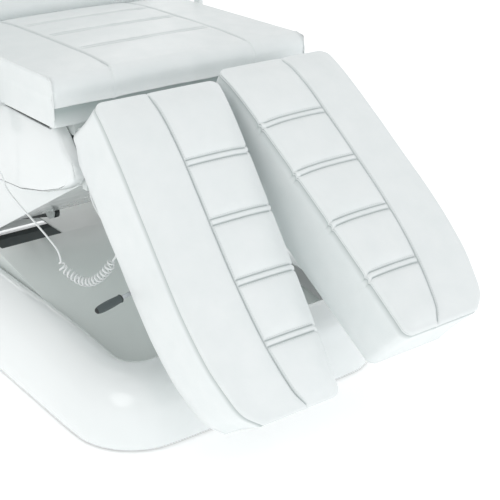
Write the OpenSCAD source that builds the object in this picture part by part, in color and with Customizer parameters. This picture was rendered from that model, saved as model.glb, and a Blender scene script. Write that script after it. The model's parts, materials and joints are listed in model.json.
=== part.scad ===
/* [Seat] */
// Width of the seat cushion
seat_w = 600; // [540:10:640]
// Depth of the seat cushion, front to back
seat_l = 520; // [480:10:560]
// Thickness of the seat cushion
seat_t = 86; // [70:2:100]
// Height of the seat's top over the floor in this position
seat_h = 690; // [680:5:720]
// Thickness of the boards under the cushions
board_t = 12; // [9:1:15]
// Side of the square tubes of the seat and back frames
tube = 30; // [25:1:32]

/* [Leg rests] */
// Length of a leg cushion
leg_l = 640; // [600:5:680]
// Width of a leg cushion at its widest
leg_w = 280; // [266:2:284]
// Thickness of a leg cushion
leg_t = 118; // [114:1:120]
// Gap between the two leg cushions
leg_gap = 20; // [16:1:24]
// Pitch of the left leg rest below level
leg_pitch_left = 49; // [0:1:54]
// Pitch of the right leg rest below level
leg_pitch_right = 35.4; // [0:0.2:54]

/* [Backrest] */
// Length of the back cushion
back_l = 780; // [720:10:820]
// Width of the back cushion
back_w = 560; // [520:10:580]
// Thickness of the back cushion
back_t = 90; // [70:2:96]
// Angle of the backrest above level in this position
back_pitch = 50; // [40:1:60]
// Width of the head cushion
pillow_w = 300; // [260:10:340]

/* [Armrests] */
// Length of an arm pad
arm_l = 300; // [260:10:320]
// Width of an arm pad
arm_w = 64; // [50:2:70]
// Height of the arm pad's top over the seat's top
arm_h = 190; // [170:5:210]

/* [Lift and base] */
// Length of the lift arms between their pivots
arm_span = 420; // [410:2:430]
// Angle of the lift arms above level in this position
arm_pitch = 20; // [19:0.5:21]
// Width of the base shell
base_w = 744; // [720:4:780]
// Length of the base shell
base_l = 1200; // [1180:10:1240]
// Height of the base shell's crest
crest_h = 176; // [168:2:182]
// Height of the flat part of the mechanism cover
deck_h = 200; // [198:1:202]
// Wall of the moulded shells
wall = 4; // [3:0.5:5]

/* [Handset] */
// Length of the handset
handset_l = 150; // [140:5:160]
// Diameter of the cord
cord_d = 4; // [3.6:0.1:4.1]
// Outer diameter of the cord's curls
curl_d = 20.5; // [19.5:0.5:21.5]
// Number of curls
curls = 17; // [12:1:17]

/* [Hidden] */
$fn = 48;

// Clearances and small shared sizes
gap = 0.3;
pin_gap = 0.08;
over = 1;
plate_t = 8;
pin_r = 7;

// Seat frame heights
cushion_bottom = seat_h - seat_t;
frame_top = cushion_bottom - board_t;
frame_bottom = frame_top - tube;

// Seat cushion seams
seat_edge_r = 22;
seat_side_pull = 3;
seat_crown = 7;
seam_depth = 3.5;
seam_half = 6;
seat_seams = [139, 288, 414];
seat_strip = 168;

// Seat frame
rail_x = 200;
seat_front_tube_y = 10;
seat_rear_tube_y = 410;
seat_mid_tube_y = 250;
frame_half_w = 253.7;

// Tilt pivot between the carriage and the seat
tilt_y = 440;
tilt_z = frame_bottom - 17;
tilt_lug_r = 15;
tilt_seat_lug_x = 173;

// Leg hinge: a point of the pad's own outline gives its place
leg_hinge_back = 50;
leg_hinge_drop = 113;
leg_hinge_y = -64;
leg_hinge_z = seat_h - 140;
leg_edge_r = 18;
leg_side_pull = 3;
leg_crown = 20;
leg_inner_drift = 32;
leg_toe_tuck = 18;
leg_width_shares = [[0, 0.965], [0.1, 0.97], [0.25, 0.975], [0.45, 0.98], [0.65, 0.98], [0.8, 0.95],
    [0.9, 0.895], [0.96, 0.84], [1, 0.74]];
leg_crown_shares = [[0, 0], [0.06, 0.6], [0.14, 0.92], [0.23, 1], [0.43, 0.92], [0.62, 0.77],
    [0.81, 0.46], [1, 0]];
leg_seams = [152, 273, 394, 515];
leg_strip_shares = [[0, 0.58], [0.2, 0.56], [0.55, 0.54], [0.8, 0.5], [1, 0.44]];

// Leg yoke, hinge barrel and frame, in the leg's own level frame
ear_t = 10;
ear_gap = 2;
barrel_in = 78;
barrel_out = 142;
barrel_r = 12;
leg_pin_r = 6;
ear_r = 14;
yoke_back = 22;
yoke_depth = 38;
yoke_z = -48;
yoke_t = 12;
spread_x = 205;
spread_back = 44;
spread_pin_r = 8;
spread_boss_r = 16;
spine_in = 90;
spine_w = 40;
leg_rail_t = 16;
leg_rail_l = 470;
leg_cross_w = 30;
leg_cross_places = [90, 250, 450];
leg_cross_spans = [[40, 250], [48, 222], [60, 165]];
lock_block_y = -50;
lock_block_l = 16;
lock_block_w = 30;
lock_block_drop = 42;
lever_x = 206;
lever_y = -255;
lever_z = -40;
lever_lean = 10;
lever_rod_r = 4;
lever_inner = 35;
lever_grip_start = 92;
lever_grip_l = 60;
lever_grip_w = 17;
lever_grip_t = 13;
lock_rod_r = 4;
lock_eye_gap = 1.6;
lock_eye_w = 4;

// Spread bracket on the seat frame
yoke_over = 6;
seat_rail_rear = seat_l - 15;
drop_y = seat_front_tube_y - plate_t;
spread_low_z = leg_hinge_z + yoke_z - yoke_over - plate_t - gap;
spread_high_z = leg_hinge_z + yoke_z + yoke_t + yoke_over + gap;

// Leg rest clearance pocket round the hinge
pocket_front = -2 * barrel_r - gap;
pocket_rear = 35;
pocket_in = 62;
pocket_out = 158;
pocket_top = 17;

// Back hinge and frame, in the back's own level frame
back_hinge_y = seat_l + 17;
back_hinge_z = seat_h - 42;
back_start = 18;
back_top = 42;
back_edge_r = 26;
back_crown = 12;
back_seams = [120, 255, 390, 525];
back_strip = 160;
back_eye_r = 13;
back_pin_r = 6;
back_eye_x = 205;
back_lug_x = 214.5;
back_rail_start = 36;
back_rail_l = 640;
back_arm_x = 70;
back_arm_r = 103;
back_arm_zero = 14;
pillow_l = 150;
pillow_t = 60;
pillow_from_top = 60;

// Back motor under the seat
back_rod_r = 9;
back_motor_r = 13;
back_motor_front = 190;
back_motor_l = 190;
back_rod_rate = 0.11;
back_pin_half = 22;

// Carriage
cheek_t = 8;
lower_arm_x = 123;
upper_arm_x = 147;
arm_t = 9;
arm_half = 16;
lift_pin_r = 10;
shell_half = 250;
shell_front = 14;
shell_rear = 503;
shell_top = seat_h - 174;
shell_front_z = seat_h - 231;
shell_low_z = seat_h - 448;
shell_low_y = 403;
shell_open_y = 335;
shell_rear_open = 340;
rail_top = shell_top - 4;
rail_h = 30;

// Base pivots of the lift arms
lower_pivot_y = 770;
lower_pivot_z = 120;
upper_pivot_dy = 20;
upper_pivot_dz = 65;
arm_run = arm_span * cos(arm_pitch);
arm_rise = arm_span * sin(arm_pitch);
carriage_pivot_y = lower_pivot_y - arm_run;
carriage_pivot_z = lower_pivot_z + arm_rise;

// Lift motor and its crank
crank_r = 60;
crank_angle = 100;
crank_y = lower_pivot_y + crank_r * cos(crank_angle);
crank_z = lower_pivot_z + crank_r * sin(crank_angle);
crank_pin_r = 6;
crank_eye_gap = 2.4;
torsion_r = 22;
lift_anchor_y = 300;
lift_anchor_z = 92;

// Tilt motor
tilt_low_y = 400;
tilt_low_z = 408;
tilt_high_y = 295;
tilt_high_z = frame_bottom - 8;
tilt_pin_r = 5;
tilt_eye_gap = 0.9;

// Base frame
foot_r = 25;
foot_h = 14;
stem_r = 6;
base_front = -270;
base_rail_x = 252;
base_rail_w = 40;
base_rail_z = 24;
base_rail_h = 36;
base_rail_front = -140;
base_rail_rear = 850;
base_cross_places = [-120, 280, 740];
foot_x = 252;
foot_front = -100;
foot_rear = 810;

// Base shell profile: inset and height shares from the floor to the crest and inwards
shell_corner = 150;
shell_rise = 4;
profile_inset_shares = [0.09, 0.02, 0, 0.05, 0.2, 0.45, 0.75, 1, 1.22];
profile_height_shares = [0, 0.12, 0.34, 0.58, 0.79, 0.93, 0.99, 1, 0.93];
crest_inset = 84;
nose_share = 0.86;

// Mechanism cover
deck_front = -200;
deck_front_z = 92;
deck_slope_end = 385;
deck_skirt = 60;
slot_in = 100;
slot_out = 255;
slot_rear = 812;

// Armrests
bracket_in = 215;
bracket_out = 318;
bracket_t = 10;
bracket_w = 26;
arm_pivot_y = 430;
arm_pad_t = 34;
arm_bar_half = 14;
arm_pivot_z = seat_h + arm_h - arm_pad_t - arm_bar_half - gap;
arm_plate_t = 10;
arm_side_gap = 1.5;
arm_pin_r = 7;
arm_bracket_places = [240, 430];

// Handset
handset_x = -352;
handset_y = 312;
handset_z = seat_h - 190;
handset_w = 54;
handset_t = 24;
key_w = 15;
key_h = 17;
key_travel = 1;
key_proud = 2.2;
key_top_gap = 16;
key_pitch_x = 22;
key_pitch_z = 27;

// Socket of the handset cord, in front of the carriage
socket_x = -234;
socket_y = -2;
socket_z = seat_h - 235;
socket_w = 24;
socket_d = 17;
socket_h = 32;

// Route of the cord, by hand: from the handset down to the first curl
cord_upper_route = [[-352, 312, 500], [-352, 312, 490], [-351, 310, 480], [-343, 300, 468],
    [-326, 278, 458], [-312, 258, 446], [-303, 247, 426], [-300, 238, 402], [-298, 220, 389],
    [-294, 196, 375], [-290, 173, 363], [-286, 150, 351], [-281, 124, 336], [-275, 102, 320],
    [-269, 88, 304], [-266, 84, 290], [-265, 83, 281]];
// Axis of the curls, by hand
curl_axis_route = [[-265, 83, 281], [-263, 85, 268], [-257, 80, 259], [-250, 66, 250],
    [-243, 44, 244], [-235, 16, 249], [-227, -9, 267], [-219, -28, 290], [-213, -42, 313]];
// And from the last curl up to the socket
cord_lower_route = [[-213, -42, 313], [-210, -46, 321], [-209, -48, 334], [-214, -44, 360],
    [-223, -33, 388], [-231, -18, 413], [-234, -6, 434], [-234, -2, 446], [-234, -2, 455]];

function lerp(a, b, t) = a + (b - a) * t;
// Value of a table of [share, value] pairs at a share
function table_at(tab, s, i = 0) =
    s <= tab[0][0] ? tab[0][1] :
    i >= len(tab) - 1 ? tab[len(tab) - 1][1] :
    s <= tab[i + 1][0] ?
        lerp(tab[i][1], tab[i + 1][1], (s - tab[i][0]) / (tab[i + 1][0] - tab[i][0])) :
        table_at(tab, s, i + 1);

// Grid of a cushion: n rows by m columns, and the loop of its rim
function rim(n, m) = concat(
    [for (j = [0:m - 1]) j],
    [for (i = [1:n - 1]) i * m + m - 1],
    [for (j = [m - 2:-1:0]) (n - 1) * m + j],
    [for (i = [n - 2:-1:1]) i * m]);
function grid_faces(n, m) = [for (i = [0:n - 2], j = [0:m - 2], k = [0, 1])
    k == 0 ? [i * m + j, (i + 1) * m + j, i * m + j + 1] :
        [i * m + j + 1, (i + 1) * m + j, (i + 1) * m + j + 1]];
function wall_faces(a, b) = [for (i = [0:len(a) - 1], k = [0, 1])
    let (j = (i + 1) % len(a)) k == 0 ? [a[i], a[j], b[i]] : [a[j], b[j], b[i]]];
function fan_faces(loop, tip) = [for (i = [0:len(loop) - 1])
    [loop[i], loop[(i + 1) % len(loop)], tip]];

// A closed cushion. rows and cols are shares along and across it, low() and high() give its
// two sides, and the top's points come in as a list. The rings go down its side.
ring_inset_shares = [0.3, 0.02, 0, 0.25];
function cushion_faces(n, m) =
    let (r0 = rim(n, m), k = len(r0), g = n * m)
    concat(grid_faces(n, m),
        wall_faces(r0, [for (i = [0:k - 1]) g + i]),
        wall_faces([for (i = [0:k - 1]) g + i], [for (i = [0:k - 1]) g + k + i]),
        wall_faces([for (i = [0:k - 1]) g + k + i], [for (i = [0:k - 1]) g + 2 * k + i]),
        wall_faces([for (i = [0:k - 1]) g + 2 * k + i], [for (i = [0:k - 1]) g + 3 * k + i]),
        fan_faces([for (i = [0:k - 1]) g + 3 * k + i], g + 4 * k));

module in_row() {
    translate([0, -row_mid_y, 0])
        children();
}

module pin_x(x0, x1, y, z, r) {
    translate([x0, y, z])
        rotate([0, 90, 0])
            cylinder(r = r, h = x1 - x0);
}

// A flat bar from one point to another in the plane across X, with rounder eyes at its ends
module bar_x(x, t, a, b, half) {
    run = [b[0] - a[0], b[1] - a[1]];
    translate([x - t / 2, a[0], a[1]])
        rotate([atan2(run[1], run[0]), 0, 0])
            translate([0, bar_start_share * half, -bar_w_share * half])
                cube([t, norm(run) - 2 * bar_start_share * half, 2 * bar_w_share * half]);
    for (p = [a, b])
        pin_x(x - t / 2, x + t / 2, p[0], p[1], half);
}

bar_start_share = 0.7;
bar_w_share = 0.8;

module both_sides() {
    for (s = [-1, 1])
        scale_side(s)
            children();
}

module scale_side(s) {
    if (s > 0)
        children();
    else
        mirror([1, 0, 0])
            children();
}

module box(x0, x1, y0, y1, z0, z1) {
    translate([x0, y0, z0])
        cube([x1 - x0, y1 - y0, z1 - z0]);
}

// Points of a closed cushion: its top, four rings down its side and the middle of its base.
// place(s, f, e) gives x and y at two shares with the outline drawn in by e, top(s, f) gives z.
// tuck draws the lower edge back at the far end.
rim_inset_share = 0.8;
ring_drop_shares = [0.28, 0.95];
ring_side_share = 0.6;
function cushion_points(rows, cols, place, top, r, pull, base, tuck = 0) =
    let (n = len(rows), m = len(cols(0)), loop = rim(n, m),
        insets = [ring_inset_shares[0] * r, ring_inset_shares[1] * r, pull,
            ring_inset_shares[3] * r],
        tucks = [0, 0, ring_side_share * tuck, tuck])
    concat(
        [for (i = [0:n - 1], f = cols(rows[i]))
            concat(place(rows[i], f, rim_inset_share * r), top(rows[i], f))],
        [for (k = [0:3], q = loop)
            let (s = rows[floor(q / m)], f = cols(s)[q % m], z = top(s, f))
            concat(place(s, f, insets[k]) + [0, tucks[k] * s],
                k < 2 ? z - ring_drop_shares[k] * r
                    : k == 2 ? lerp(z, base, ring_side_share) : base)],
        [concat(place(0.5, 0.5, r), base)]);

// Shares along a cushion for seams at given lengths: two stitch lines and the band between
function seam_rows(seams, l) = [for (p = seams, d = [-14, -seam_half, 0, seam_half, 14])
    (p + d) / l];
// Depth of a double seam at a length
function seam_dip(v, seams) = max([for (p = seams)
    abs(abs(v - p) - seam_half) < 0.1 ? seam_depth : 0]);

// Leg cushion
leg_rows = concat([0, 0.02, 0.05, 0.12], seam_rows(leg_seams, leg_l), [0.88, 0.94, 0.975, 1]);
strip_half_share = 0.028;
first_col_share = 0.12;
mid_col_share = 0.62;
last_col_share = 0.86;
leg_side_share = 0.4;
leg_cols = function(s) let (k = table_at(leg_strip_shares, s))
    [0, first_col_share, k * mid_col_share, k - strip_half_share, k, k + strip_half_share,
        last_col_share, 1];
leg_place = function(s, f, e)
    [leg_gap / 2 + lerp(leg_inner_drift * s + e, leg_w * table_at(leg_width_shares, s) - e, f),
        leg_hinge_back - lerp(e, leg_l - e, s)];
leg_top = function(s, f)
    let (k = table_at(leg_strip_shares, s), v = s * leg_l)
    leg_hinge_drop + leg_crown * table_at(leg_crown_shares, s) * (1 - leg_side_share * pow(2 * f - 1, 4))
        - (abs(f - k) < 0.001 ? seam_depth : f < k && f > 0 ? seam_dip(v, leg_seams) : 0);
leg_points = cushion_points(leg_rows, leg_cols, leg_place, leg_top, leg_edge_r, leg_side_pull,
    leg_hinge_drop - leg_t, leg_toe_tuck);
leg_faces = cushion_faces(len(leg_rows), len(leg_cols(0)));

// Seat cushion
seat_rows = concat([0, 0.05, 0.12], seam_rows(seat_seams, seat_l), [0.92, 1]);
seat_strip_share = seat_strip / seat_w;
seat_cols = function(s) [0, 0.1, 0.5 - seat_strip_share - 0.014, 0.5 - seat_strip_share,
    0.5 - seat_strip_share + 0.014, 0.5, 0.5 + seat_strip_share - 0.014,
    0.5 + seat_strip_share, 0.5 + seat_strip_share + 0.014, 0.9, 1];
seat_place = function(s, f, e) [lerp(-seat_w / 2 + e, seat_w / 2 - e, f), lerp(e, seat_l - e, s)];
seat_top = function(s, f)
    let (x = abs(f - 0.5) - seat_strip_share, v = s * seat_l)
    seat_h + seat_crown * (1 - pow(2 * s - 1, 4)) * (1 - pow(2 * f - 1, 4)) - seat_crown
        - (abs(x) < 0.001 ? seam_depth : x < 0 ? seam_dip(v, seat_seams) : 0);
seat_faces = cushion_faces(len(seat_rows), len(seat_cols(0)));

// Back cushion, in the back's level frame from its hinge
back_rows = concat([0, 0.03, 0.08], seam_rows(back_seams, back_l), [0.8, 0.92, 0.97, 1]);
back_strip_share = back_strip / back_w;
back_cols = function(s) [0, 0.1, 0.5 - back_strip_share - 0.014, 0.5 - back_strip_share,
    0.5 - back_strip_share + 0.014, 0.5, 0.5 + back_strip_share - 0.014,
    0.5 + back_strip_share, 0.5 + back_strip_share + 0.014, 0.9, 1];
back_taper = 0.12;
back_place = function(s, f, e)
    let (w = back_w * (1 - back_taper * pow(s, 3)))
    [lerp(-w / 2 + e, w / 2 - e, f), back_start + lerp(e, back_l - e, s)];
back_top_at = function(s, f)
    let (x = abs(f - 0.5) - back_strip_share, v = s * back_l)
    back_top + back_crown * (1 - pow(2 * s - 1, 4)) * (1 - pow(2 * f - 1, 4)) - back_crown / 2
        - (abs(x) < 0.001 ? seam_depth : x < 0 ? seam_dip(v, back_seams) : 0);
back_points = cushion_points(back_rows, back_cols, back_place, back_top_at, back_edge_r,
    seat_side_pull, back_top - back_t);
back_faces = cushion_faces(len(back_rows), len(back_cols(0)));

// Where the whole object reaches to, front and back, from the cushions' own points
function turned_y(p, hinge_y, pitch) = hinge_y + p[1] * cos(pitch) - p[2] * sin(pitch);
front_reach = min([for (p = leg_points, a = [leg_pitch_left, leg_pitch_right])
    turned_y(p, leg_hinge_y, a)]);
back_reach = max([for (p = back_points) turned_y(p, back_hinge_y, back_pitch)]);
rear_reach = max(back_reach, base_front + base_l);
row_mid_y = (front_reach + rear_reach) / 2;

// Rounded outline of the base, drawn in by e
plan_arc_steps = 6;
plan_side_steps = 7;
function plan_line(a, b, n) = [for (i = [1:n - 1]) lerp(a, b, i / n)];
function plan(e) =
    let (w = base_w / 2 - e, f = base_front + e, b = base_front + base_l - e,
        r = max(shell_corner - e, shell_corner / 4),
        corner = function(cx, cy, a0) [for (i = [0:plan_arc_steps])
            let (a = a0 + 90 * i / plan_arc_steps) [cx + r * cos(a), cy + r * sin(a)]])
    concat(corner(w - r, b - r, 0), plan_line([w - r, b], [r - w, b], 3),
        corner(r - w, b - r, 90), plan_line([-w, b - r], [-w, f + r], plan_side_steps),
        corner(r - w, f + r, 180), plan_line([r - w, f], [w - r, f], 3),
        corner(w - r, f + r, 270), plan_line([w, f + r], [w, b - r], plan_side_steps));
nose_run = 300;
function nose_at(y) =
    let (t = min(1, max(0, (y - base_front) / nose_run)))
    lerp(nose_share, 1, t * t * (3 - 2 * t));

// Sweep of a tube with n sides along a list of points
function unit(v) = v / norm(v);
function tangent(p, i) = unit(p[min(i + 1, len(p) - 1)] - p[max(i - 1, 0)]);
function tube_points(path, refs, r, n) = [for (i = [0:len(path) - 1])
    let (t = tangent(path, i), a = unit(cross(t, refs[i])), b = cross(t, a))
    for (k = [0:n - 1]) path[i] + r * (a * cos(360 * k / n) + b * sin(360 * k / n))];
function tube_faces(m, n) = concat(
    [for (i = [0:m - 2], k = [0:n - 1], h = [0, 1])
        let (q = (k + 1) % n) h == 0 ?
            [i * n + k, i * n + q, (i + 1) * n + k] :
            [i * n + q, (i + 1) * n + q, (i + 1) * n + k]],
    [for (k = [1:n - 2]) [0, k + 1, k]],
    [for (k = [1:n - 2]) [(m - 1) * n, (m - 1) * n + k, (m - 1) * n + k + 1]]);
// A smooth curve through a route's points
function curve_at(p, u) =
    let (i = min(floor(u), len(p) - 2), t = u - i,
        a = p[max(i - 1, 0)], b = p[i], c = p[i + 1], d = p[min(i + 2, len(p) - 1)])
    b + t * (c - a) / 2 + t * t * (2 * a - 5 * b + 4 * c - d) / 2
        + t * t * t * (3 * b - a - 3 * c + d) / 2;
cord_sides = 8;
cord_steps = 2;
function cord_path(p) = concat([for (i = [0:cord_steps * (len(p) - 1) - 1])
    curve_at(p, i / cord_steps)], [p[len(p) - 1]]);

// The curls: a helix round its own axis, with straight ends one cord diameter long
curl_sides = 6;
curl_rings = 8;
curl_r = (curl_d - cord_d) / 2;
curl_ramp = 0.75;
curl_steps = curl_rings * curls;
curl_axis_end = len(curl_axis_route) - 1;
// Length along the axis at each point of its route, so that the curls come evenly spaced
curl_axis_run = [for (i = 0, a = 0; i <= curl_axis_end;
    a = a + (i < curl_axis_end ? norm(curl_axis_route[i + 1] - curl_axis_route[i]) : 0), i = i + 1)
    [a, i]];
curl_axis_l = curl_axis_run[curl_axis_end][0];
function curl_axis(i) =
    let (a = cord_d + (curl_axis_l - 2 * cord_d) * i / curl_steps)
    curve_at(curl_axis_route, lookup(a, curl_axis_run));
function curl_out(i) =
    let (d = unit(curl_axis(min(i + 1, curl_steps)) - curl_axis(max(i - 1, 0))),
        a = unit(cross(d, [1, 0, 0])), b = cross(d, a), w = 360 * i / curl_rings)
    a * cos(w) + b * sin(w);
function curl_point(i) =
    curl_axis(i) + curl_out(i) * curl_r * min(1, min(i, curl_steps - i) / (curl_rings * curl_ramp));
curl_start = curl_axis_route[0];
curl_end = curl_axis_route[curl_axis_end];
curl_path = concat([curl_start,
        curl_start + cord_d * unit(curl_axis_route[1] - curl_start)],
    [for (i = [2:curl_steps - 2]) curl_point(i)],
    [curl_end - cord_d * unit(curl_end - curl_axis_route[curl_axis_end - 1]), curl_end]);
curl_refs = [for (i = [0:curl_steps]) curl_out(max(2, min(i, curl_steps - 2)))];
// Least gap between the curls' turns, centre to centre less the cord
curl_gap = min([for (i = [0:len(curl_path) - 1], j = [i + 5:1:len(curl_path) - 1])
    norm(curl_path[i] - curl_path[j])]) - cord_d;
echo(least_gap_between_curls = curl_gap);
echo(middle_of_the_row_frame = row_mid_y);

module cord_tube(path, refs, n) {
    polyhedron(tube_points(path, refs, cord_d / 2, n), tube_faces(len(path), n),
        convexity = 10);
}

function level_refs(p) = [for (q = p) [1, 0, 0]];

module handset_cord_upper() {
    color("whitesmoke") in_row()
        cord_tube(cord_path(cord_upper_route), level_refs(cord_path(cord_upper_route)),
            cord_sides);
}

module handset_cord_curls() {
    color("whitesmoke") in_row()
        cord_tube(curl_path, curl_refs, curl_sides);
}

module handset_cord_lower() {
    color("whitesmoke") in_row()
        cord_tube(cord_path(cord_lower_route), level_refs(cord_path(cord_lower_route)),
            cord_sides);
}

// Base

module base_frame() {
    color("silver") in_row() {
        difference() {
            union() {
                for (y = base_cross_places)
                    box(-base_rail_x, base_rail_x, y, y + tube, base_rail_z,
                        base_rail_z + base_rail_h);
                both_sides() {
                    box(base_rail_x - base_rail_w / 2, base_rail_x + base_rail_w / 2,
                        base_rail_front, base_rail_rear, base_rail_z,
                        base_rail_z + base_rail_h);
                    // Arms out to the shell
                    for (y = base_cross_places)
                        box(base_rail_x, base_w / 2 - wall - shell_tab_gap, y, y + tube,
                            base_rail_z, base_rail_z + tube);
                    // Post under the mechanism cover's skirt
                    box(base_rail_x + post_in, deck_half - gap, post_y, post_y + base_rail_w,
                        base_rail_z + base_rail_h - over, deck_h - deck_skirt - gap);
                }
            }
            both_sides()
                for (y = [foot_front, foot_rear])
                    translate([foot_x, y, 0])
                        cylinder(r = stem_r + pin_gap, h = seat_h);
        }
        both_sides() {
            cheek_pair_base();
            // Lift motor's clevis
            box(clevis_in, clevis_in + plate_t, lift_anchor_y - lug_half,
                lift_anchor_y + lug_half, base_rail_z + base_rail_h - over, lift_anchor_z);
            pin_x(clevis_in, clevis_in + plate_t, lift_anchor_y, lift_anchor_z, lug_half);
        }
        pin_x(-clevis_in - plate_t, clevis_in + plate_t, lift_anchor_y, lift_anchor_z,
            crank_pin_r);
    }
}
shell_tab_gap = 2;
post_in = 6;
post_y = 560;
clevis_in = 8;
lug_half = 12;
lip = len(profile_inset_shares) - 1;
deck_inset = crest_inset * profile_inset_shares[lip]
    + wall * (1 - pow(profile_height_shares[lip], 4)) + gap;
deck_half = base_w / 2 - deck_inset;

module cheek_pair_base() {
    x = (lower_arm_x + upper_arm_x) / 2;
    y1 = lower_pivot_y + upper_pivot_dy;
    z1 = lower_pivot_z + upper_pivot_dz;
    difference() {
        union() {
            box(x - cheek_t / 2, x + cheek_t / 2, lower_pivot_y - cheek_half,
                y1 + cheek_half / 2, base_rail_z, lower_pivot_z);
            bar_x(x, cheek_t, [lower_pivot_y, lower_pivot_z], [y1, z1], arm_half);
        }
        pin_x(0, base_w, lower_pivot_y, lower_pivot_z, lift_pin_r);
        pin_x(0, base_w, y1, z1, lift_pin_r);
    }
}
cheek_half = 34;

module levelling_feet() {
    color("dimgray") in_row()
        both_sides()
            for (y = [foot_front, foot_rear])
                translate([foot_x, y, 0]) {
                    cylinder(r = foot_r, h = foot_h);
                    cylinder(r = stem_r, h = base_rail_z + base_rail_h + foot_h);
                    translate([0, 0, foot_h])
                        cylinder(r = 2 * stem_r, h = base_rail_z - foot_h, $fn = 6);
                }
}

// Closed ring of the base: outer profile up to the crest and in, inner profile back down
function base_ring(k) =
    let (last = len(profile_inset_shares) - 1, q = k <= last ? k : 2 * last + 1 - k,
        inner = k > last, h = profile_height_shares[q],
        e = crest_inset * profile_inset_shares[q] + (inner ? wall * (1 - pow(h, 4)) : 0))
    [for (p = plan(e)) [p[0], p[1],
        shell_rise + (crest_h - shell_rise) * h * nose_at(p[1]) - (inner ? wall * h : 0)]];

module base_shell() {
    rings = 2 * len(profile_inset_shares);
    n = len(plan(0));
    color("white") in_row()
        difference() {
            polyhedron([for (k = [0:rings - 1]) each base_ring(k)],
                [for (k = [0:rings - 1], i = [0:n - 1], h = [0, 1])
                    let (a = k * n, b = ((k + 1) % rings) * n, j = (i + 1) % n)
                    h == 0 ? [a + i, b + i, a + j] : [a + j, b + i, b + j]],
                convexity = 6);
            box(-inlet_w / 2 - gap, inlet_w / 2 + gap, base_front + base_l - 2 * inlet_d,
                base_front + base_l + over, inlet_z - inlet_h / 2 - gap,
                inlet_z + inlet_h / 2 + gap);
        }
}

module deck_profile(e) {
    skirt_z = deck_h - deck_skirt - e;
    polygon([[deck_front, base_rail_z + base_rail_h - e], [deck_front, deck_front_z - e],
        [deck_slope_end, deck_h - e],
        [base_l, deck_h - e], [base_l, skirt_z], [deck_slope_end, skirt_z]]);
}

module deck_block(e) {
    intersection() {
        rotate([90, 0, 90])
            translate([0, 0, -base_w / 2])
                linear_extrude(base_w)
                    deck_profile(e);
        linear_extrude(deck_h + over)
            polygon(plan(deck_inset + e));
    }
}

module mechanism_cover() {
    color("gainsboro") in_row()
        difference() {
            deck_block(0);
            deck_block(wall);
            both_sides() {
                box(slot_in, slot_out, deck_slope_end + slot_front, slot_rear,
                    deck_h - 2 * wall, deck_h + over);
            }
        }
}
slot_front = 1;

module control_box() {
    color("gainsboro") in_row() {
        box(box_x, box_x + box_w, base_cross_places[1] + 2, base_cross_places[1] + box_l,
            base_rail_z + base_rail_h + gap, base_rail_z + base_rail_h + box_h);
        for (i = [0:3])
            box(box_x + box_w * (i + 0.3) / 4, box_x + box_w * (i + 0.8) / 4,
                base_cross_places[1] + box_l, base_cross_places[1] + box_l + wall,
                base_rail_z + base_rail_h + box_h / 3, base_rail_z + base_rail_h + box_h * box_band_share);
    }
}
box_x = -210;
box_w = 130;
box_l = 170;
box_h = 44;

module mains_inlet() {
    y = base_front + base_l;
    color("dimgray") in_row()
        difference() {
            union() {
                box(-inlet_w / 2, inlet_w / 2, y - inlet_d, y + gap, inlet_z - inlet_h / 2,
                    inlet_z + inlet_h / 2);
                box(-inlet_w / 2 - flange, inlet_w / 2 + flange, y + gap, y + gap + wall,
                    inlet_z - inlet_h / 2 - flange / 2, inlet_z + inlet_h / 2 + flange / 2);
            }
            box(-inlet_socket / 2, inlet_socket / 2, y - inlet_d * inlet_socket_share, y + 2 * wall,
                inlet_z - inlet_socket / 3, inlet_z + inlet_socket / 3);
            box(-inlet_w / 2 + wall, inlet_w / 2 - wall, y - inlet_d - over,
                y - inlet_d * inlet_pins_share, inlet_z - inlet_h / 3, inlet_z + inlet_h / 3);
        }
}
inlet_w = 47;
inlet_h = 26;
inlet_d = 26;
inlet_z = 62;
inlet_socket = 24;
flange = 10;

module lift_pivot_pins() {
    x0 = lower_arm_x - arm_t / 2 - pin_past;
    x1 = upper_arm_x + arm_t / 2 + pin_past;
    x = (lower_arm_x + upper_arm_x) / 2;
    color("silver") in_row()
        both_sides() {
            pin_x(lower_arm_x - torsion_pin, x + cheek_t / 2 + 2, lower_pivot_y, lower_pivot_z,
                lift_pin_r);
            pin_x(x - cheek_t / 2 - 2, x1, lower_pivot_y + upper_pivot_dy,
                lower_pivot_z + upper_pivot_dz, lift_pin_r);
        }
}
pin_past = 3;
torsion_pin = 40;

// A lift arm between a base pivot and a carriage pivot, with a bore at each end
module lift_arm(x, y, z) {
    a = [y, z];
    b = [y - arm_run, z + arm_rise];
    difference() {
        bar_x(x, arm_t, b, a, arm_half);
        for (p = [a, b])
            pin_x(0, base_w, p[0], p[1], lift_pin_r + pin_gap);
    }
}

module lower_lift_arms() {
    a = [lower_pivot_y, lower_pivot_z];
    b = [carriage_pivot_y, carriage_pivot_z];
    color("lightgray") in_row() {
        difference() {
            union() {
                both_sides()
                    bar_x(lower_arm_x, arm_t, b, a, arm_half);
                pin_x(-lower_arm_x, lower_arm_x, a[0], a[1], torsion_r);
                translate([-crank_t / 2, a[0], a[1]])
                    rotate([crank_angle, 0, 0])
                        translate([0, bar_start_share * torsion_r, -bar_w_share * lug_half])
                            cube([crank_t, crank_r - bar_start_share * (torsion_r + lug_half),
                                2 * bar_w_share * lug_half]);
                pin_x(-crank_t / 2, crank_t / 2, crank_y, crank_z, lug_half);
            }
            for (p = [a, b])
                pin_x(-base_w, base_w, p[0], p[1], lift_pin_r + pin_gap);
        }
        pin_x(-crank_pin_half, crank_pin_half, crank_y, crank_z, crank_pin_r);
    }
}
crank_t = 10;
crank_pin_half = 14;

module upper_lift_arms() {
    color("lightgray") in_row()
        both_sides()
            lift_arm(upper_arm_x, lower_pivot_y + upper_pivot_dy,
                lower_pivot_z + upper_pivot_dz);
}

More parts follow.
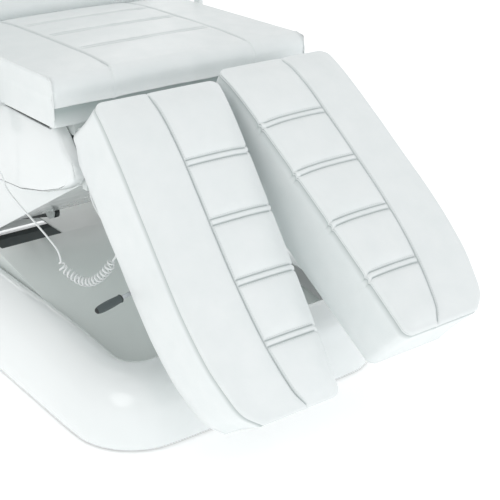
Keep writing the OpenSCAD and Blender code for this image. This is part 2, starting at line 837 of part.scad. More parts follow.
// Puts a strut's own frame, +Y along it, at its anchor
module along(a, b) {
    translate([0, a[0], a[1]])
        rotate([atan2(b[1] - a[1], b[0] - a[0]), 0, 0])
            children();
}

module rod_y(y0, y1, r) {
    translate([0, y0, 0])
        rotate([-90, 0, 0])
            cylinder(r = r, h = y1 - y0);
}

// Body of a motor strut: eye at the origin, gear housing and a tube with a bore
module motor_body(eye_r, bore_r, half, body_r, rod_r, l) {
    difference() {
        union() {
            pin_x(-half, half, 0, 0, eye_r);
            box(-half, half, 0, eye_r + 3 * over, -eye_r * motor_neck_share,
                eye_r * motor_neck_share);
            rod_y(eye_r + 2 * over, l, body_r);
            translate([0, eye_r + body_r, -body_r * motor_head_share])
                rotate([-90, 0, 0])
                    cylinder(r = body_r * motor_can_share, h = l * motor_can_l_share);
        }
        pin_x(-base_w, base_w, 0, 0, bore_r + pin_gap);
        rod_y(eye_r + body_r / 2, l + over, rod_r + pin_gap);
    }
}

module lift_motor() {
    l = norm([crank_y - lift_anchor_y, crank_z - lift_anchor_z]);
    color("gainsboro") in_row()
        along([lift_anchor_y, lift_anchor_z], [crank_y, crank_z])
            motor_body(lug_half, crank_pin_r, clevis_in - over, lift_body_r, lift_rod_r,
                l * lift_body_share);
}
lift_body_r = 22;
lift_rod_r = 9;
lift_body_share = 0.66;

// Rod of a motor strut with a forked or single eye at its far end
module lift_rod() {
    l = norm([crank_y - lift_anchor_y, crank_z - lift_anchor_z]);
    inner = crank_t / 2 + fork_gap;
    color("silver") in_row()
        along([lift_anchor_y, lift_anchor_z], [crank_y, crank_z]) {
            rod_y(l * rod_hidden_share, l - fork_back, lift_rod_r);
            box(-inner - fork_t, inner + fork_t, l - fork_back - fork_t, l - fork_back,
                -lug_half, lug_half);
            for (s = [-1, 1])
                difference() {
                    union() {
                        box(s > 0 ? inner : -inner - fork_t, s > 0 ? inner + fork_t : -inner,
                            l - fork_back - over, l, -lug_half, lug_half);
                        pin_x(s > 0 ? inner : -inner - fork_t, s > 0 ? inner + fork_t : -inner,
                            l, 0, lug_half);
                    }
                    pin_x(-base_w, base_w, l, 0, crank_pin_r + crank_eye_gap);
                }
        }
}
fork_gap = 0.7;
fork_t = 5;
fork_back = 29;

// Carriage

module carriage_frame() {
    x = (lower_arm_x + upper_arm_x) / 2;
    y2 = carriage_pivot_y + upper_pivot_dy;
    z2 = carriage_pivot_z + upper_pivot_dz;
    color("silver") in_row() {
        both_sides() {
            // Cheek plate with the two pivot pins
            bar_x(x, cheek_t, [carriage_pivot_y, carriage_pivot_z], [y2, z2], arm_half);
            bar_x(x, cheek_t, [y2, z2], [y2, rail_top - arm_half], arm_half + 2 * cheek_t);
            pin_x(lower_arm_x - arm_t / 2 - pin_past, x, carriage_pivot_y, carriage_pivot_z,
                lift_pin_r);
            pin_x(x, upper_arm_x + arm_t / 2 + pin_past, y2, z2, lift_pin_r);
            // Rail
            box(x - tube / 2, x + tube / 2, shell_front + wall + gap, carriage_rear,
                rail_top - rail_h, rail_top);
            // Lug of the tilt pivot
            difference() {
                union() {
                    box(x + tube / 2 - over, carriage_lug_x + plate_t, tilt_y - tilt_lug_r,
                        tilt_y + tilt_lug_r, rail_top - rail_h, rail_top - rail_h / 2);
                    box(carriage_lug_x, carriage_lug_x + plate_t, tilt_y - tilt_lug_r,
                        tilt_y + tilt_lug_r, rail_top - rail_h, tilt_z);
                    pin_x(carriage_lug_x, carriage_lug_x + plate_t, tilt_y, tilt_z, tilt_lug_r);
                }
                pin_x(0, base_w, tilt_y, tilt_z, pin_r + pin_gap);
            }
        }
        for (y = [carriage_front_cross, carriage_rear - tube])
            box(-x, x, y, y + tube, rail_top - rail_h, rail_top);
        // Cross tube and clevis of the tilt motor
        box(-x, x, tilt_low_y - tube / 2, tilt_low_y + tube / 2, tilt_low_z - tube - lug_half - over,
            tilt_low_z - lug_half - over);
        both_sides() {
            box(clevis_in, clevis_in + plate_t, tilt_low_y - lug_half,
                tilt_low_y + lug_half, tilt_low_z - lug_half - 2 * over, tilt_low_z);
            pin_x(clevis_in, clevis_in + plate_t, tilt_low_y, tilt_low_z, lug_half);
        }
        pin_x(-clevis_in - plate_t, clevis_in + plate_t, tilt_low_y, tilt_low_z, tilt_pin_r);
        // Side blocks that carry the shell
        both_sides()
            box(x + tube / 2 - over, shell_half - wall - gap, shell_block_y, shell_block_y + tube,
                rail_top - rail_h, rail_top - rail_h / 3);
    }
}
carriage_rear = 498;
carriage_front_cross = 70;
carriage_lug_x = 163;
shell_block_y = 200;

module shell_profile() {
    polygon([[shell_front, shell_front_z], [shell_front, shell_top], [shell_rear, shell_top],
        [shell_rear, shell_rear_open], [shell_rear - 2 * wall, shell_low_z],
        [shell_low_y, shell_low_z]]);
}

module carriage_shell() {
    color("white") in_row()
        difference() {
            rotate([90, 0, 90])
                translate([0, 0, -shell_half])
                    linear_extrude(2 * shell_half)
                        shell_profile();
            rotate([90, 0, 90])
                translate([0, 0, wall - shell_half])
                    linear_extrude(2 * shell_half - 2 * wall)
                        polygon([[shell_front + wall, shell_front_z + wall],
                            [shell_front + wall, shell_top + over],
                            [shell_rear - wall, shell_top + over],
                            [shell_rear - wall, shell_rear_open],
                            [shell_rear + over, shell_rear_open],
                            [shell_rear + over, shell_low_z - over],
                            [shell_open_y, shell_low_z - over],
                            [shell_open_y, lerp(shell_front_z, shell_low_z,
                                (shell_open_y - shell_front) / (shell_low_y - shell_front))
                                + wall]]);
        }
}

module tilt_motor() {
    color("gainsboro") in_row()
        along([tilt_low_y, tilt_low_z], [tilt_high_y, tilt_high_z])
            motor_body(lug_half, tilt_pin_r, clevis_in - over, tilt_body_r, tilt_rod_r,
                tilt_body_l);
}
tilt_body_r = 17;
tilt_rod_r = 7;
tilt_body_l = 120;

module tilt_rod() {
    l = norm([tilt_high_y - tilt_low_y, tilt_high_z - tilt_low_z]);
    color("silver") in_row()
        along([tilt_low_y, tilt_low_z], [tilt_high_y, tilt_high_z])
            difference() {
                union() {
                    rod_y(tilt_body_l / 2, l - tilt_pin_r, tilt_rod_r);
                    pin_x(-tilt_rod_r - gap, tilt_rod_r + gap, l, 0, lug_half - over);
                }
                pin_x(-base_w, base_w, l, 0, tilt_pin_r + tilt_eye_gap);
            }
}

// Seat

module seat_frame() {
    color("silver") in_row() {
        both_sides() {
            box(rail_x - tube / 2, rail_x + tube / 2, seat_front_tube_y, seat_rail_rear,
                frame_bottom, frame_top);
            // Lug of the tilt pivot and its pin
            box(tilt_seat_lug_x, rail_x, tilt_y - tilt_lug_r, tilt_y + tilt_lug_r, tilt_z,
                frame_top - tube / 2);
            pin_x(tilt_seat_lug_x, rail_x, tilt_y, tilt_z, tilt_lug_r);
            pin_x(carriage_lug_x - over, rail_x, tilt_y, tilt_z, pin_r);
            // Lug of the back hinge and its pin
            bar_x(back_lug_x, plate_t, [back_hinge_y, back_hinge_z],
                [back_hinge_y, frame_bottom + tube / 2], back_eye_r);
            bar_x(back_lug_x, plate_t, [back_hinge_y, frame_bottom + tube / 2],
                [seat_rail_rear - tube, frame_bottom + tube / 2], back_eye_r);
            pin_x(back_eye_x - plate_t, back_lug_x, back_hinge_y, back_hinge_z, back_pin_r);
            // Bracket and pin of the leg's spread pivot
            box(spread_x - spread_boss_r, spread_x + spread_boss_r, drop_y, seat_front_tube_y,
                spread_low_z, frame_top);
            for (z = [spread_low_z, spread_high_z]) {
                box(spread_x - spread_boss_r, spread_x + spread_boss_r,
                    leg_hinge_y + spread_back, drop_y + over, z, z + plate_t);
                translate([spread_x, leg_hinge_y + spread_back, z])
                    cylinder(r = spread_boss_r, h = plate_t);
            }
            translate([spread_x, leg_hinge_y + spread_back, spread_low_z])
                cylinder(r = spread_pin_r, h = spread_high_z - spread_low_z + plate_t);
        }
        for (y = [seat_mid_tube_y, seat_rear_tube_y])
            box(-rail_x, rail_x, y, y + tube, frame_bottom, frame_top);
        box(-frame_half_w, frame_half_w, seat_front_tube_y, seat_front_tube_y + tube,
            frame_bottom, frame_top);
        // Stubs out to the side covers
        both_sides()
            box(rail_x, frame_half_w, seat_rail_rear - tube, seat_rail_rear, frame_bottom,
                frame_bottom + tube / 2);
        // Clevis of the tilt motor's rod
        both_sides()
            box(tilt_rod_r + over, tilt_rod_r + over + plate_t, tilt_high_y - lug_half,
                tilt_high_y + lug_half, tilt_high_z - lug_half, frame_bottom + over);
        box(-tilt_rod_r - plate_t - over, tilt_rod_r + plate_t + over,
            seat_mid_tube_y + tube - over, tilt_high_y + lug_half, frame_bottom + plate_t,
            frame_bottom + 2 * plate_t);
        both_sides()
            box(tilt_rod_r + over, tilt_rod_r + over + plate_t, seat_mid_tube_y + tube - over,
                tilt_high_y + lug_half, frame_bottom, frame_bottom + 2 * plate_t);
        pin_x(-tilt_rod_r - plate_t, tilt_rod_r + plate_t, tilt_high_y, tilt_high_z, tilt_pin_r);
    }
}

module seat_board() {
    color("dimgray") in_row()
        box(-board_half_w, board_half_w, seat_front_tube_y, seat_rail_rear, frame_top,
            cushion_bottom - gap);
}
board_half_w = seat_w / 2 - 22;

module seat_cushion() {
    color("white") in_row()
        polyhedron(cushion_points(seat_rows, seat_cols, seat_place, seat_top, seat_edge_r,
            seat_side_pull, cushion_bottom), seat_faces, convexity = 8);
}

// Moulded cover at a side of the seat, seen from its side: y and z down from the seat's top
cover_outline = [[40, -112], [20, -130], [3, -152], [-13, -163], [-23, -176], [-26, -190],
    [-21, -206], [-8, -218], [25, -236], [95, -262], [200, -288], [330, -300], [440, -292],
    [480, -270], [496, -230], [500, -150], [490, -112]];
cover_in = 254;
cover_out = 285;
cover_round = 10;

module side_cover() {
    n = len(cover_outline);
    // Middle of the outline, towards which the two faces are drawn in
    mid = [240, -190];
    lanes = [[cover_in, 0], [cover_out - cover_round, 0], [cover_out - cover_round / 3, 0.02],
        [cover_out, 0.07]];
    points = [for (lane = lanes, p = cover_outline)
        let (q = lerp(p, mid, lane[1] * (1 - abs(p[0] - mid[0]) / seat_l / 2)))
        [lane[0], q[0], seat_h + q[1]]];
    rings = len(lanes);
    polyhedron(concat(points, [[cover_in, mid[0], seat_h + mid[1]],
            [cover_out, mid[0], seat_h + mid[1]]]),
        concat([for (k = [0:rings - 2], i = [0:n - 1], h = [0, 1])
            let (a = k * n, b = (k + 1) * n, j = (i + 1) % n)
            h == 0 ? [a + i, a + j, b + i] : [a + j, b + j, b + i]],
            [for (i = [0:n - 1]) [rings * n, (i + 1) % n, i]],
            [for (i = [0:n - 1]) [rings * n + 1, (rings - 1) * n + i,
                (rings - 1) * n + (i + 1) % n]]), convexity = 4);
}

module seat_side_cover_left() {
    color("white") in_row()
        scale_side(-1)
            side_cover();
}

module seat_side_cover_right() {
    color("white") in_row()
        side_cover();
}

module handset_socket() {
    color("gainsboro") in_row()
        difference() {
            union() {
                box(socket_x - socket_w / 2, socket_x + socket_w / 2, socket_y - socket_d / 2,
                    socket_y + socket_d / 2, socket_z, socket_z + socket_h);
                // Strap up to the seat's front tube
                box(socket_x - socket_w / 2, socket_x + socket_w / 2, drop_y + wall,
                    seat_front_tube_y, socket_z + socket_h / 2, frame_bottom + tube / 2);
            }
            translate([socket_x, socket_y, socket_z - over])
                cylinder(r = cord_d, h = over, $fn = 24);
        }
}

module back_motor() {
    z = back_hinge_z - back_arm_r;
    color("gainsboro") in_row()
        difference() {
            union() {
                translate([back_arm_x, 0, z]) {
                    rod_y(back_motor_front, back_motor_front + back_motor_l, back_motor_r);
                    rod_y(back_motor_front - back_motor_r, back_motor_front + over,
                        back_motor_r * motor_cap_share);
                }
                box(back_arm_x - back_rod_r, back_arm_x + back_rod_r, seat_mid_tube_y + 2,
                    seat_mid_tube_y + tube - 2, z, frame_bottom - gap);
            }
            translate([back_arm_x, 0, z])
                rod_y(back_motor_front + 2, back_motor_front + back_motor_l + over,
                    back_rod_r + pin_gap);
        }
}

module back_rod() {
    z = back_hinge_z - back_arm_r;
    y = back_hinge_y + 1000 * back_rod_rate * back_arm_zero * PI / 180;
    color("silver") in_row()
        translate([back_arm_x, 0, z]) {
            rod_y(back_motor_front + back_rod_in, y, back_rod_r * rod_tip_share);
            rod_y(back_motor_front + back_rod_in, back_motor_front + back_rod_in + tube,
                back_rod_r);
            pin_x(-back_rod_r, back_rod_r, y, 0, back_rod_r + 2);
            pin_x(-back_pin_half, back_pin_half, y, 0, pin_r);
        }
}
back_rod_in = 100;

module armrest_brackets() {
    color("silver") in_row()
        both_sides() {
            for (y = arm_bracket_places)
                box(bracket_in, bracket_out + arm_plate_t, y - bracket_w / 2, y + bracket_w / 2,
                    bracket_z, bracket_z + bracket_t);
            box(bracket_out, bracket_out + arm_plate_t, arm_bracket_places[0] - bracket_w / 2,
                arm_pivot_y, bracket_z, bracket_z + bracket_t);
            bar_x(bracket_out + arm_plate_t / 2, arm_plate_t, [arm_pivot_y, arm_pivot_z],
                [arm_pivot_y, bracket_z + arm_bar_half], arm_bar_half);
            pin_x(bracket_out, bracket_out + 2 * arm_plate_t + arm_side_gap + 2, arm_pivot_y,
                arm_pivot_z, arm_pin_r);
        }
}
bracket_z = frame_top - 13;

module armrest_arm() {
    x = bracket_out + arm_plate_t + arm_plate_t / 2 + arm_side_gap;
    difference() {
        bar_x(x, arm_plate_t, [arm_pivot_y - arm_l, arm_pivot_z], [arm_pivot_y, arm_pivot_z],
            arm_bar_half);
        pin_x(0, base_w, arm_pivot_y, arm_pivot_z, arm_pin_r + pin_gap);
    }
}

module armrest_arm_left() {
    color("silver") in_row()
        scale_side(-1)
            armrest_arm();
}

module armrest_arm_right() {
    color("silver") in_row()
        armrest_arm();
}

// Arm pad: a small cushion on the arm
pad_rows = [0, 0.04, 0.12, 0.3, 0.5, 0.7, 0.88, 0.96, 1];
pad_cols = function(s) [0, 0.15, 0.35, 0.5, 0.65, 0.85, 1];
pad_place = function(s, f, e)
    let (x = bracket_out + arm_plate_t + arm_plate_t / 2 + arm_side_gap,
        w = arm_w / 2 * (1 - arm_end_share * pow(2 * s - 1, 6)))
    [x + lerp(-w + e, w - e, f), arm_pivot_y - arm_l + lerp(e, arm_l - pad_rear - e, s)];
pad_top = function(s, f)
    seat_h + arm_h - pad_crown * (1 - (1 - pow(2 * s - 1, 4)) * (1 - pow(2 * f - 1, 2)));
pad_rear = 34;
pad_crown = 5;
pad_edge_r = 10;

module armrest_pad() {
    polyhedron(cushion_points(pad_rows, pad_cols, pad_place, pad_top, pad_edge_r, 1,
        seat_h + arm_h - arm_pad_t), cushion_faces(len(pad_rows), len(pad_cols(0))),
        convexity = 4);
}

module armrest_pad_left() {
    color("white") in_row()
        scale_side(-1)
            armrest_pad();
}

module armrest_pad_right() {
    color("white") in_row()
        armrest_pad();
}

// Backrest, built level and turned up about its hinge
module at_back() {
    in_row()
        translate([0, back_hinge_y, back_hinge_z])
            rotate([back_pitch, 0, 0])
                children();
}

module back_frame() {
    top = back_top - back_t - board_t;
    mid = top - tube / 2;
    arm_dir = -90 - back_pitch + back_arm_zero;
    color("silver") at_back() {
        both_sides() {
            difference() {
                union() {
                    bar_x(back_eye_x, plate_t, [0, 0], [0, mid], back_eye_r);
                    bar_x(back_eye_x, plate_t, [0, mid], [back_rail_start + tube, mid],
                        back_eye_r);
                }
                pin_x(0, base_w, 0, 0, back_pin_r + pin_gap);
            }
            box(back_eye_x - tube / 2, back_eye_x + tube / 2, back_rail_start,
                back_rail_start + back_rail_l, top - tube, top - gap);
        }
        for (y = [back_rail_start, back_rail_start + back_rail_l / 2,
                back_rail_start + back_rail_l - tube])
            box(-back_eye_x, back_eye_x, y, y + tube, top - tube, top - gap);
        // Fork that the motor's cross pin slides in
        translate([back_arm_x, 0, 0])
            both_sides()
                difference() {
                    union() {
                        rotate([arm_dir, 0, 0])
                            translate([fork_x, back_arm_r - pin_r - fork_open - fork_base, -fork_half])
                                cube([fork_t, fork_l, 2 * fork_half]);
                        box(fork_x + over, fork_x + fork_t + over, -fork_root,
                            back_rail_start + tube / 2, top - tube, top - tube / 3);
                    }
                    rotate([arm_dir, 0, 0])
                        translate([fork_x - over, back_arm_r - pin_r - fork_open, -fork_slot])
                            cube([fork_t + 2 * over, fork_l, 2 * fork_slot]);
                }
    }
}
fork_x = 12;
fork_base = 8;
fork_l = 51;
fork_half = 19;
fork_slot = 12.5;
fork_open = 3;
fork_root = 40;

module back_board() {
    top = back_top - back_t - gap;
    color("white") at_back()
        box(-back_w / 2 + board_inset, back_w / 2 - board_inset, back_start + board_start,
            back_start + back_l - board_end, top - board_t + gap, top);
}
board_inset = 24;
board_start = 8;
board_end = 60;

module back_cushion() {
    color("white") at_back()
        polyhedron(back_points, back_faces, convexity = 8);
}

// Head cushion on the top end of the back cushion
pillow_rows = [0, 0.08, 0.25, 0.5, 0.75, 0.92, 1];
pillow_cols = function(s) [0, 0.06, 0.2, 0.4, 0.6, 0.8, 0.94, 1];
pillow_place = function(s, f, e)
    [lerp(-pillow_w / 2 + e, pillow_w / 2 - e, f),
        back_start + back_l - pillow_from_top - pillow_l + lerp(e, pillow_l - e, s)];
pillow_top = function(s, f)
    pillow_base + pillow_t - pillow_dip * (1 - (1 - pow(2 * s - 1, 2)) * (1 - pow(2 * f - 1, 4)))
        - pillow_hollow * (1 - pow(2 * f - 1, 2)) * (1 - pow(2 * s - 1, 2));
pillow_dip = 16;
pillow_hollow = 8;
pillow_sink = 0.7;
pillow_base = back_top + back_crown / 2 - pillow_sink;

module head_pillow() {
    color("white") at_back()
        polyhedron(cushion_points(pillow_rows, pillow_cols, pillow_place, pillow_top,
            leg_edge_r, seat_side_pull, pillow_base),
            cushion_faces(len(pillow_rows), len(pillow_cols(0))), convexity = 6);
}

// Leg rests: the right one is built level from its hinge, the left one is its mirror image
module at_leg(s) {
    pitch = s > 0 ? leg_pitch_right : leg_pitch_left;
    in_row()
        translate([0, leg_hinge_y, leg_hinge_z])
            rotate([pitch, 0, 0])
                scale_side(s)
                    children();
}

module leg_yoke() {
    ear_in = barrel_in - ear_gap - ear_t;
    ear_out = barrel_out + ear_gap;
    foot = [yoke_back + ear_r, yoke_z + yoke_t / 2];
    translate([0, leg_hinge_y, leg_hinge_z]) {
        for (x = [ear_in, ear_out])
            bar_x(x + ear_t / 2, ear_t, [0, 0], foot, ear_r - over);
        pin_x(ear_in, ear_out + ear_t, 0, 0, leg_pin_r);
        difference() {
            union() {
                box(ear_in, spread_x - bar_start_share * spread_boss_r, yoke_back,
                    yoke_back + yoke_depth, yoke_z, yoke_z + yoke_t);
                translate([spread_x, spread_back, yoke_z - yoke_over])
                    cylinder(r = spread_boss_r, h = yoke_t + 2 * yoke_over);
            }
            translate([spread_x, spread_back, yoke_z - 2 * yoke_over])
                cylinder(r = spread_pin_r + pin_gap, h = yoke_t + 4 * yoke_over);
        }
    }
}

module leg_yoke_left() {
    color("silver") in_row()
        scale_side(-1)
            leg_yoke();
}

module leg_yoke_right() {
    color("silver") in_row()
        leg_yoke();
}

module leg_frame() {
    top = leg_hinge_drop - leg_t - gap;
    spine_out = spine_in + spine_w;
    difference() {
        union() {
            pin_x(barrel_in, barrel_out, 0, 0, barrel_r);
            box(spine_in, spine_out, -leg_rail_l, -barrel_r, top - leg_rail_t, top);
            box(spine_in, spine_out, -2 * barrel_r, 0, top - leg_rail_t / 2, 0);
            // Clamp block under the barrel
            box(spine_in, lever_x - lever_inner + lock_block_w / 2,
                lock_block_y - lock_block_l / 2, lock_block_y + lock_block_l,
                top - lock_block_drop, top);
            for (i = [0:len(leg_cross_places) - 1])
                box(leg_cross_spans[i][0], leg_cross_spans[i][1], -leg_cross_places[i] - leg_cross_w,
                    -leg_cross_places[i], top - leg_rail_t, top);
            // Boss of the release lever
            translate([lever_x, lever_y, lever_z - lever_boss_h / 2])
                cylinder(r = lever_boss_r, h = top - lever_z + lever_boss_h / 2);
        }
        pin_x(0, base_w, 0, 0, leg_pin_r + pin_gap);
        // Seat of the lock rod
        translate([lever_x - lever_inner, 0, lever_z])
            rod_y(lock_block_y - tube, lock_block_y + tube, lock_rod_r + gap);
        translate([lever_x, lever_y, lever_z - lever_rod_r - gap])
            cylinder(r = lever_boss_r + over, h = 2 * (lever_rod_r + gap));
    }
    translate([lever_x, lever_y, lever_z - lever_boss_h / 2])
        cylinder(r = lever_pin_r, h = lever_boss_h);
}
lever_boss_h = 18;
lever_boss_r = 11;
lever_pin_r = 4;

module leg_frame_left() {
    color("silver") at_leg(-1)
        leg_frame();
}

module leg_frame_right() {
    color("silver") at_leg(1)
        leg_frame();
}

module leg_cushion() {
    difference() {
        polyhedron(leg_points, leg_faces, convexity = 8);
        box(pocket_in, pocket_out, pocket_front, pocket_rear, leg_hinge_drop - leg_t - over,
            pocket_top);
    }
}

module leg_cushion_left() {
    color("white") at_leg(-1)
        leg_cushion();
}

module leg_cushion_right() {
    color("white") at_leg(1)
        leg_cushion();
}

// Rod from the lever's inner end to the clamp block
module lock_rod() {
    x = lever_x - lever_inner;
    eye_r = lever_pin_r + lock_eye_gap + lock_eye_w;
    difference() {
        union() {
            translate([x, 0, lever_z])
                rod_y(lock_inner_y + eye_r / 2, lock_block_y - over, lock_rod_r);
            translate([x, lock_inner_y, lever_z + lever_rod_r + gap])
                cylinder(r = eye_r, h = lock_eye_t);
            box(x - lock_rod_r, x + lock_rod_r, lock_inner_y + eye_r - over,
                lock_inner_y + eye_r + 2 * lock_rod_r, lever_z - lock_rod_r + over,
                lever_z + lever_rod_r + gap + lock_eye_t);
        }
        translate([x, lock_inner_y, lever_z - 2 * lock_rod_r])
            cylinder(r = lever_pin_r + lock_eye_gap, h = 6 * lock_rod_r);
        translate([x, lock_inner_y, lever_z - 2 * lock_rod_r])
            cylinder(r = eye_r + lock_rod_r, h = 3 * lock_rod_r + gap);
    }
}
lock_eye_t = 4;
lock_inner_y = lever_y + lever_inner * sin(lever_lean);

module lock_rod_left() {
    color("silver") at_leg(-1)
        lock_rod();
}

module lock_rod_right() {
    color("silver") at_leg(1)
        lock_rod();
}

// Turns to the lever's own frame: +X out along the lever from its pivot
module along_lever() {
    translate([lever_x, lever_y, lever_z])
        rotate([0, 0, -lever_lean])
            children();
}

module release_lever() {
    along_lever()
        difference() {
            union() {
                pin_x(lever_boss_r / 2, lever_grip_start + lever_grip_l - lever_grip_t, 0, 0,
                    lever_rod_r);
                translate([0, 0, -lever_rod_r])
                    cylinder(r = lever_boss_r - over, h = 2 * lever_rod_r);
                box(-lever_inner, 0, -lever_rod_r, lever_rod_r, -lever_rod_r, lever_rod_r);
                translate([-lever_inner, 0, -lever_rod_r])
                    cylinder(r = lever_pin_r, h = 2 * lever_rod_r + lock_eye_t + over);
            }
            translate([0, 0, -2 * lever_rod_r])
                cylinder(r = lever_pin_r + pin_gap, h = 4 * lever_rod_r);
        }
}

module release_lever_left() {
    color("silver") at_leg(-1)
        release_lever();
}

module release_lever_right() {
    color("silver") at_leg(1)
        release_lever();
}

// Rubber grip pushed over the rod, flattened across
module lever_grip() {
    end_r = lever_grip_w / 2;
    along_lever()
        difference() {
            intersection() {
                translate([lever_grip_start + end_r, 0, -lever_grip_t / 2])
                    linear_extrude(lever_grip_t)
                        hull() {
                            circle(r = end_r, $fn = 32);
                            translate([lever_grip_l - lever_grip_w, 0])
                                circle(r = end_r, $fn = 32);
                        }
                translate([lever_grip_start + lever_grip_l / 2, 0, 0])
                    scale([lever_grip_l, lever_grip_w, lever_grip_t] * grip_bulge_share)
                        sphere(r = 1, $fn = 32);
            }
            pin_x(0, lever_grip_start + lever_grip_l - lever_grip_t + over, 0, 0,
                lever_rod_r + grip_fit);
        }
}
grip_bulge_share = 0.56;
grip_fit = 0.02;

module lever_grip_left() {
    color("dimgray") at_leg(-1)
        lever_grip();
}

module lever_grip_right() {
    color("dimgray") at_leg(1)
        lever_grip();
}

// Handset, hung by its hook on the left armrest bracket; its face looks outwards
function key_y(i) = handset_y + (i % 2 == 0 ? -1 : 1) * key_pitch_x / 2;
function key_z(i) = handset_z + handset_l - key_top_gap - key_h / 2 - floor(i / 2) * key_pitch_z;
handset_face = handset_x - handset_t / 2;

module handset_shell() {
    r = handset_t / 2;
    color("whitesmoke") in_row()
        difference() {
            union() {
                hull()
                    for (y = [handset_y - handset_w / 2 + r, handset_y + handset_w / 2 - r],
                            z = [handset_z + r, handset_z + handset_l - r])
                        translate([handset_x, y, z])
                            sphere(r = r, $fn = 24);
                box(handset_face + face_step, handset_x, handset_y - handset_w / 2 + r / 2,
                    handset_y + handset_w / 2 - r / 2, handset_z + r, handset_z + handset_l - r);
                // Hook over the bracket's bar
                box(handset_x + r - 2 * wall, -bracket_out + gap + hook_t, handset_y - hook_w / 2,
                    handset_y + hook_w / 2, hook_z, hook_z + hook_t);
                box(-bracket_out + gap, -bracket_out + gap + hook_t, handset_y - hook_w / 2,
                    handset_y + hook_w / 2, hook_z - hook_drop, hook_z + over);
                // Gland of the cord
                translate([handset_x, handset_y, handset_z])
                    cylinder(r = 2 * cord_d, h = r);
            }
            for (i = [0:5])
                box(handset_face - over, handset_face + key_travel + key_sink,
                    key_y(i) - key_w / 2 - gap, key_y(i) + key_w / 2 + gap,
                    key_z(i) - key_h / 2 - gap, key_z(i) + key_h / 2 + gap);
        }
}
face_step = 1.2;
hook_t = 3;
hook_w = 22;
hook_z = bracket_z + bracket_t + gap;
hook_drop = 9;
key_sink = 4.5;

module key(i, paint) {
    color(paint) in_row()
        difference() {
            box(handset_face - key_proud, handset_face + key_sink, key_y(i) - key_w / 2,
                key_y(i) + key_w / 2, key_z(i) - key_h / 2, key_z(i) + key_h / 2);
            // Shallow three-sided mark
            translate([handset_face - key_proud - over, key_y(i), key_z(i)])
                rotate([0, 90, 0])
                    cylinder(r = key_w / 3, h = over + key_mark, $fn = 3);
        }
}
key_mark = 0.4;

// Shares used by the small pieces above
box_band_share = 0.7;
inlet_socket_share = 0.7;
inlet_pins_share = 0.8;
motor_neck_share = 0.7;
motor_head_share = 0.9;
motor_can_share = 0.95;
motor_can_l_share = 0.42;
motor_cap_share = 0.8;
rod_hidden_share = 0.3;
rod_tip_share = 0.8;
arm_end_share = 0.25;

module seat_up_key() {
    key(0, "lightsteelblue");
}

module seat_down_key() {
    key(1, "lightsteelblue");
}

module back_up_key() {
    key(2, "lightsteelblue");
}

module back_down_key() {
    key(3, "lightsteelblue");
}

module tilt_up_key() {
    key(4, "lightsteelblue");
}

module tilt_down_key() {
    key(5, "lightsteelblue");
}

base_frame();
levelling_feet();
base_shell();
mechanism_cover();
control_box();
mains_inlet();
lift_pivot_pins();
lower_lift_arms();
upper_lift_arms();
lift_motor();
lift_rod();
carriage_frame();
carriage_shell();
tilt_motor();
tilt_rod();
seat_frame();
seat_board();
seat_cushion();
seat_side_cover_left();
seat_side_cover_right();
handset_socket();
back_motor();
back_rod();
armrest_brackets();
armrest_arm_left();
armrest_arm_right();
armrest_pad_left();
armrest_pad_right();
back_frame();
back_board();
back_cushion();
head_pillow();
leg_yoke_left();
leg_yoke_right();
leg_frame_left();
leg_frame_right();
leg_cushion_left();
leg_cushion_right();
lock_rod_left();
lock_rod_right();
release_lever_left();
release_lever_right();
lever_grip_left();
lever_grip_right();
handset_shell();
seat_up_key();
seat_down_key();
back_up_key();
back_down_key();
tilt_up_key();
tilt_down_key();
handset_cord_upper();
handset_cord_curls();
handset_cord_lower();
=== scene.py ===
import bpy, bmesh, json
from math import cos, sin, pi, radians, sqrt, exp, ceil
from mathutils import Vector, Matrix, noise


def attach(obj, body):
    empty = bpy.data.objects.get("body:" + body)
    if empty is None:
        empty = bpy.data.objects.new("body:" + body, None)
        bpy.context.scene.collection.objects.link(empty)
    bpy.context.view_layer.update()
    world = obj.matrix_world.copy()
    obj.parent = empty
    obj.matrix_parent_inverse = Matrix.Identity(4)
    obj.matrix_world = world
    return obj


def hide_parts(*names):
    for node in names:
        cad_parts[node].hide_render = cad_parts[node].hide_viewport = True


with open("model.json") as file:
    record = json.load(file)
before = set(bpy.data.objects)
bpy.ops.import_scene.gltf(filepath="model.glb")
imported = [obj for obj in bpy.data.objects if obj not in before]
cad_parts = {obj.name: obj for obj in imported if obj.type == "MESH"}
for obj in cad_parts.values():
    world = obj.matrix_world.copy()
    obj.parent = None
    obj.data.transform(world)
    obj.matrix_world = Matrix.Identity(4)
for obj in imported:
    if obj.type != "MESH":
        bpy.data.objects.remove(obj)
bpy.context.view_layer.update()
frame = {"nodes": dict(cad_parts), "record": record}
nodes = frame["nodes"]

rowMid = 239.737    # where the row frame's middle lies behind the seat's front edge, mm
mm = Matrix.Scale(0.001, 4)
inRow = mm @ Matrix.Translation((0, -rowMid, 0))


# Small helpers

def linear(hexText):
    parts = [int(hexText[i:i + 2], 16) / 255 for i in (0, 2, 4)]
    return [c / 12.92 if c <= 0.04045 else ((c + 0.055) / 1.055) ** 2.4 for c in parts] + [1]


def lerp(a, b, t):
    return a + (b - a) * t


def smooth(t):
    t = min(1, max(0, t))
    return t * t * (3 - 2 * t)


def tableAt(table, s):    # straight lines between the pairs of a table
    if s <= table[0][0]:
        return table[0][1]
    for (s0, v0), (s1, v1) in zip(table, table[1:]):
        if s <= s1:
            return lerp(v0, v1, (s - s0) / (s1 - s0))
    return table[-1][1]


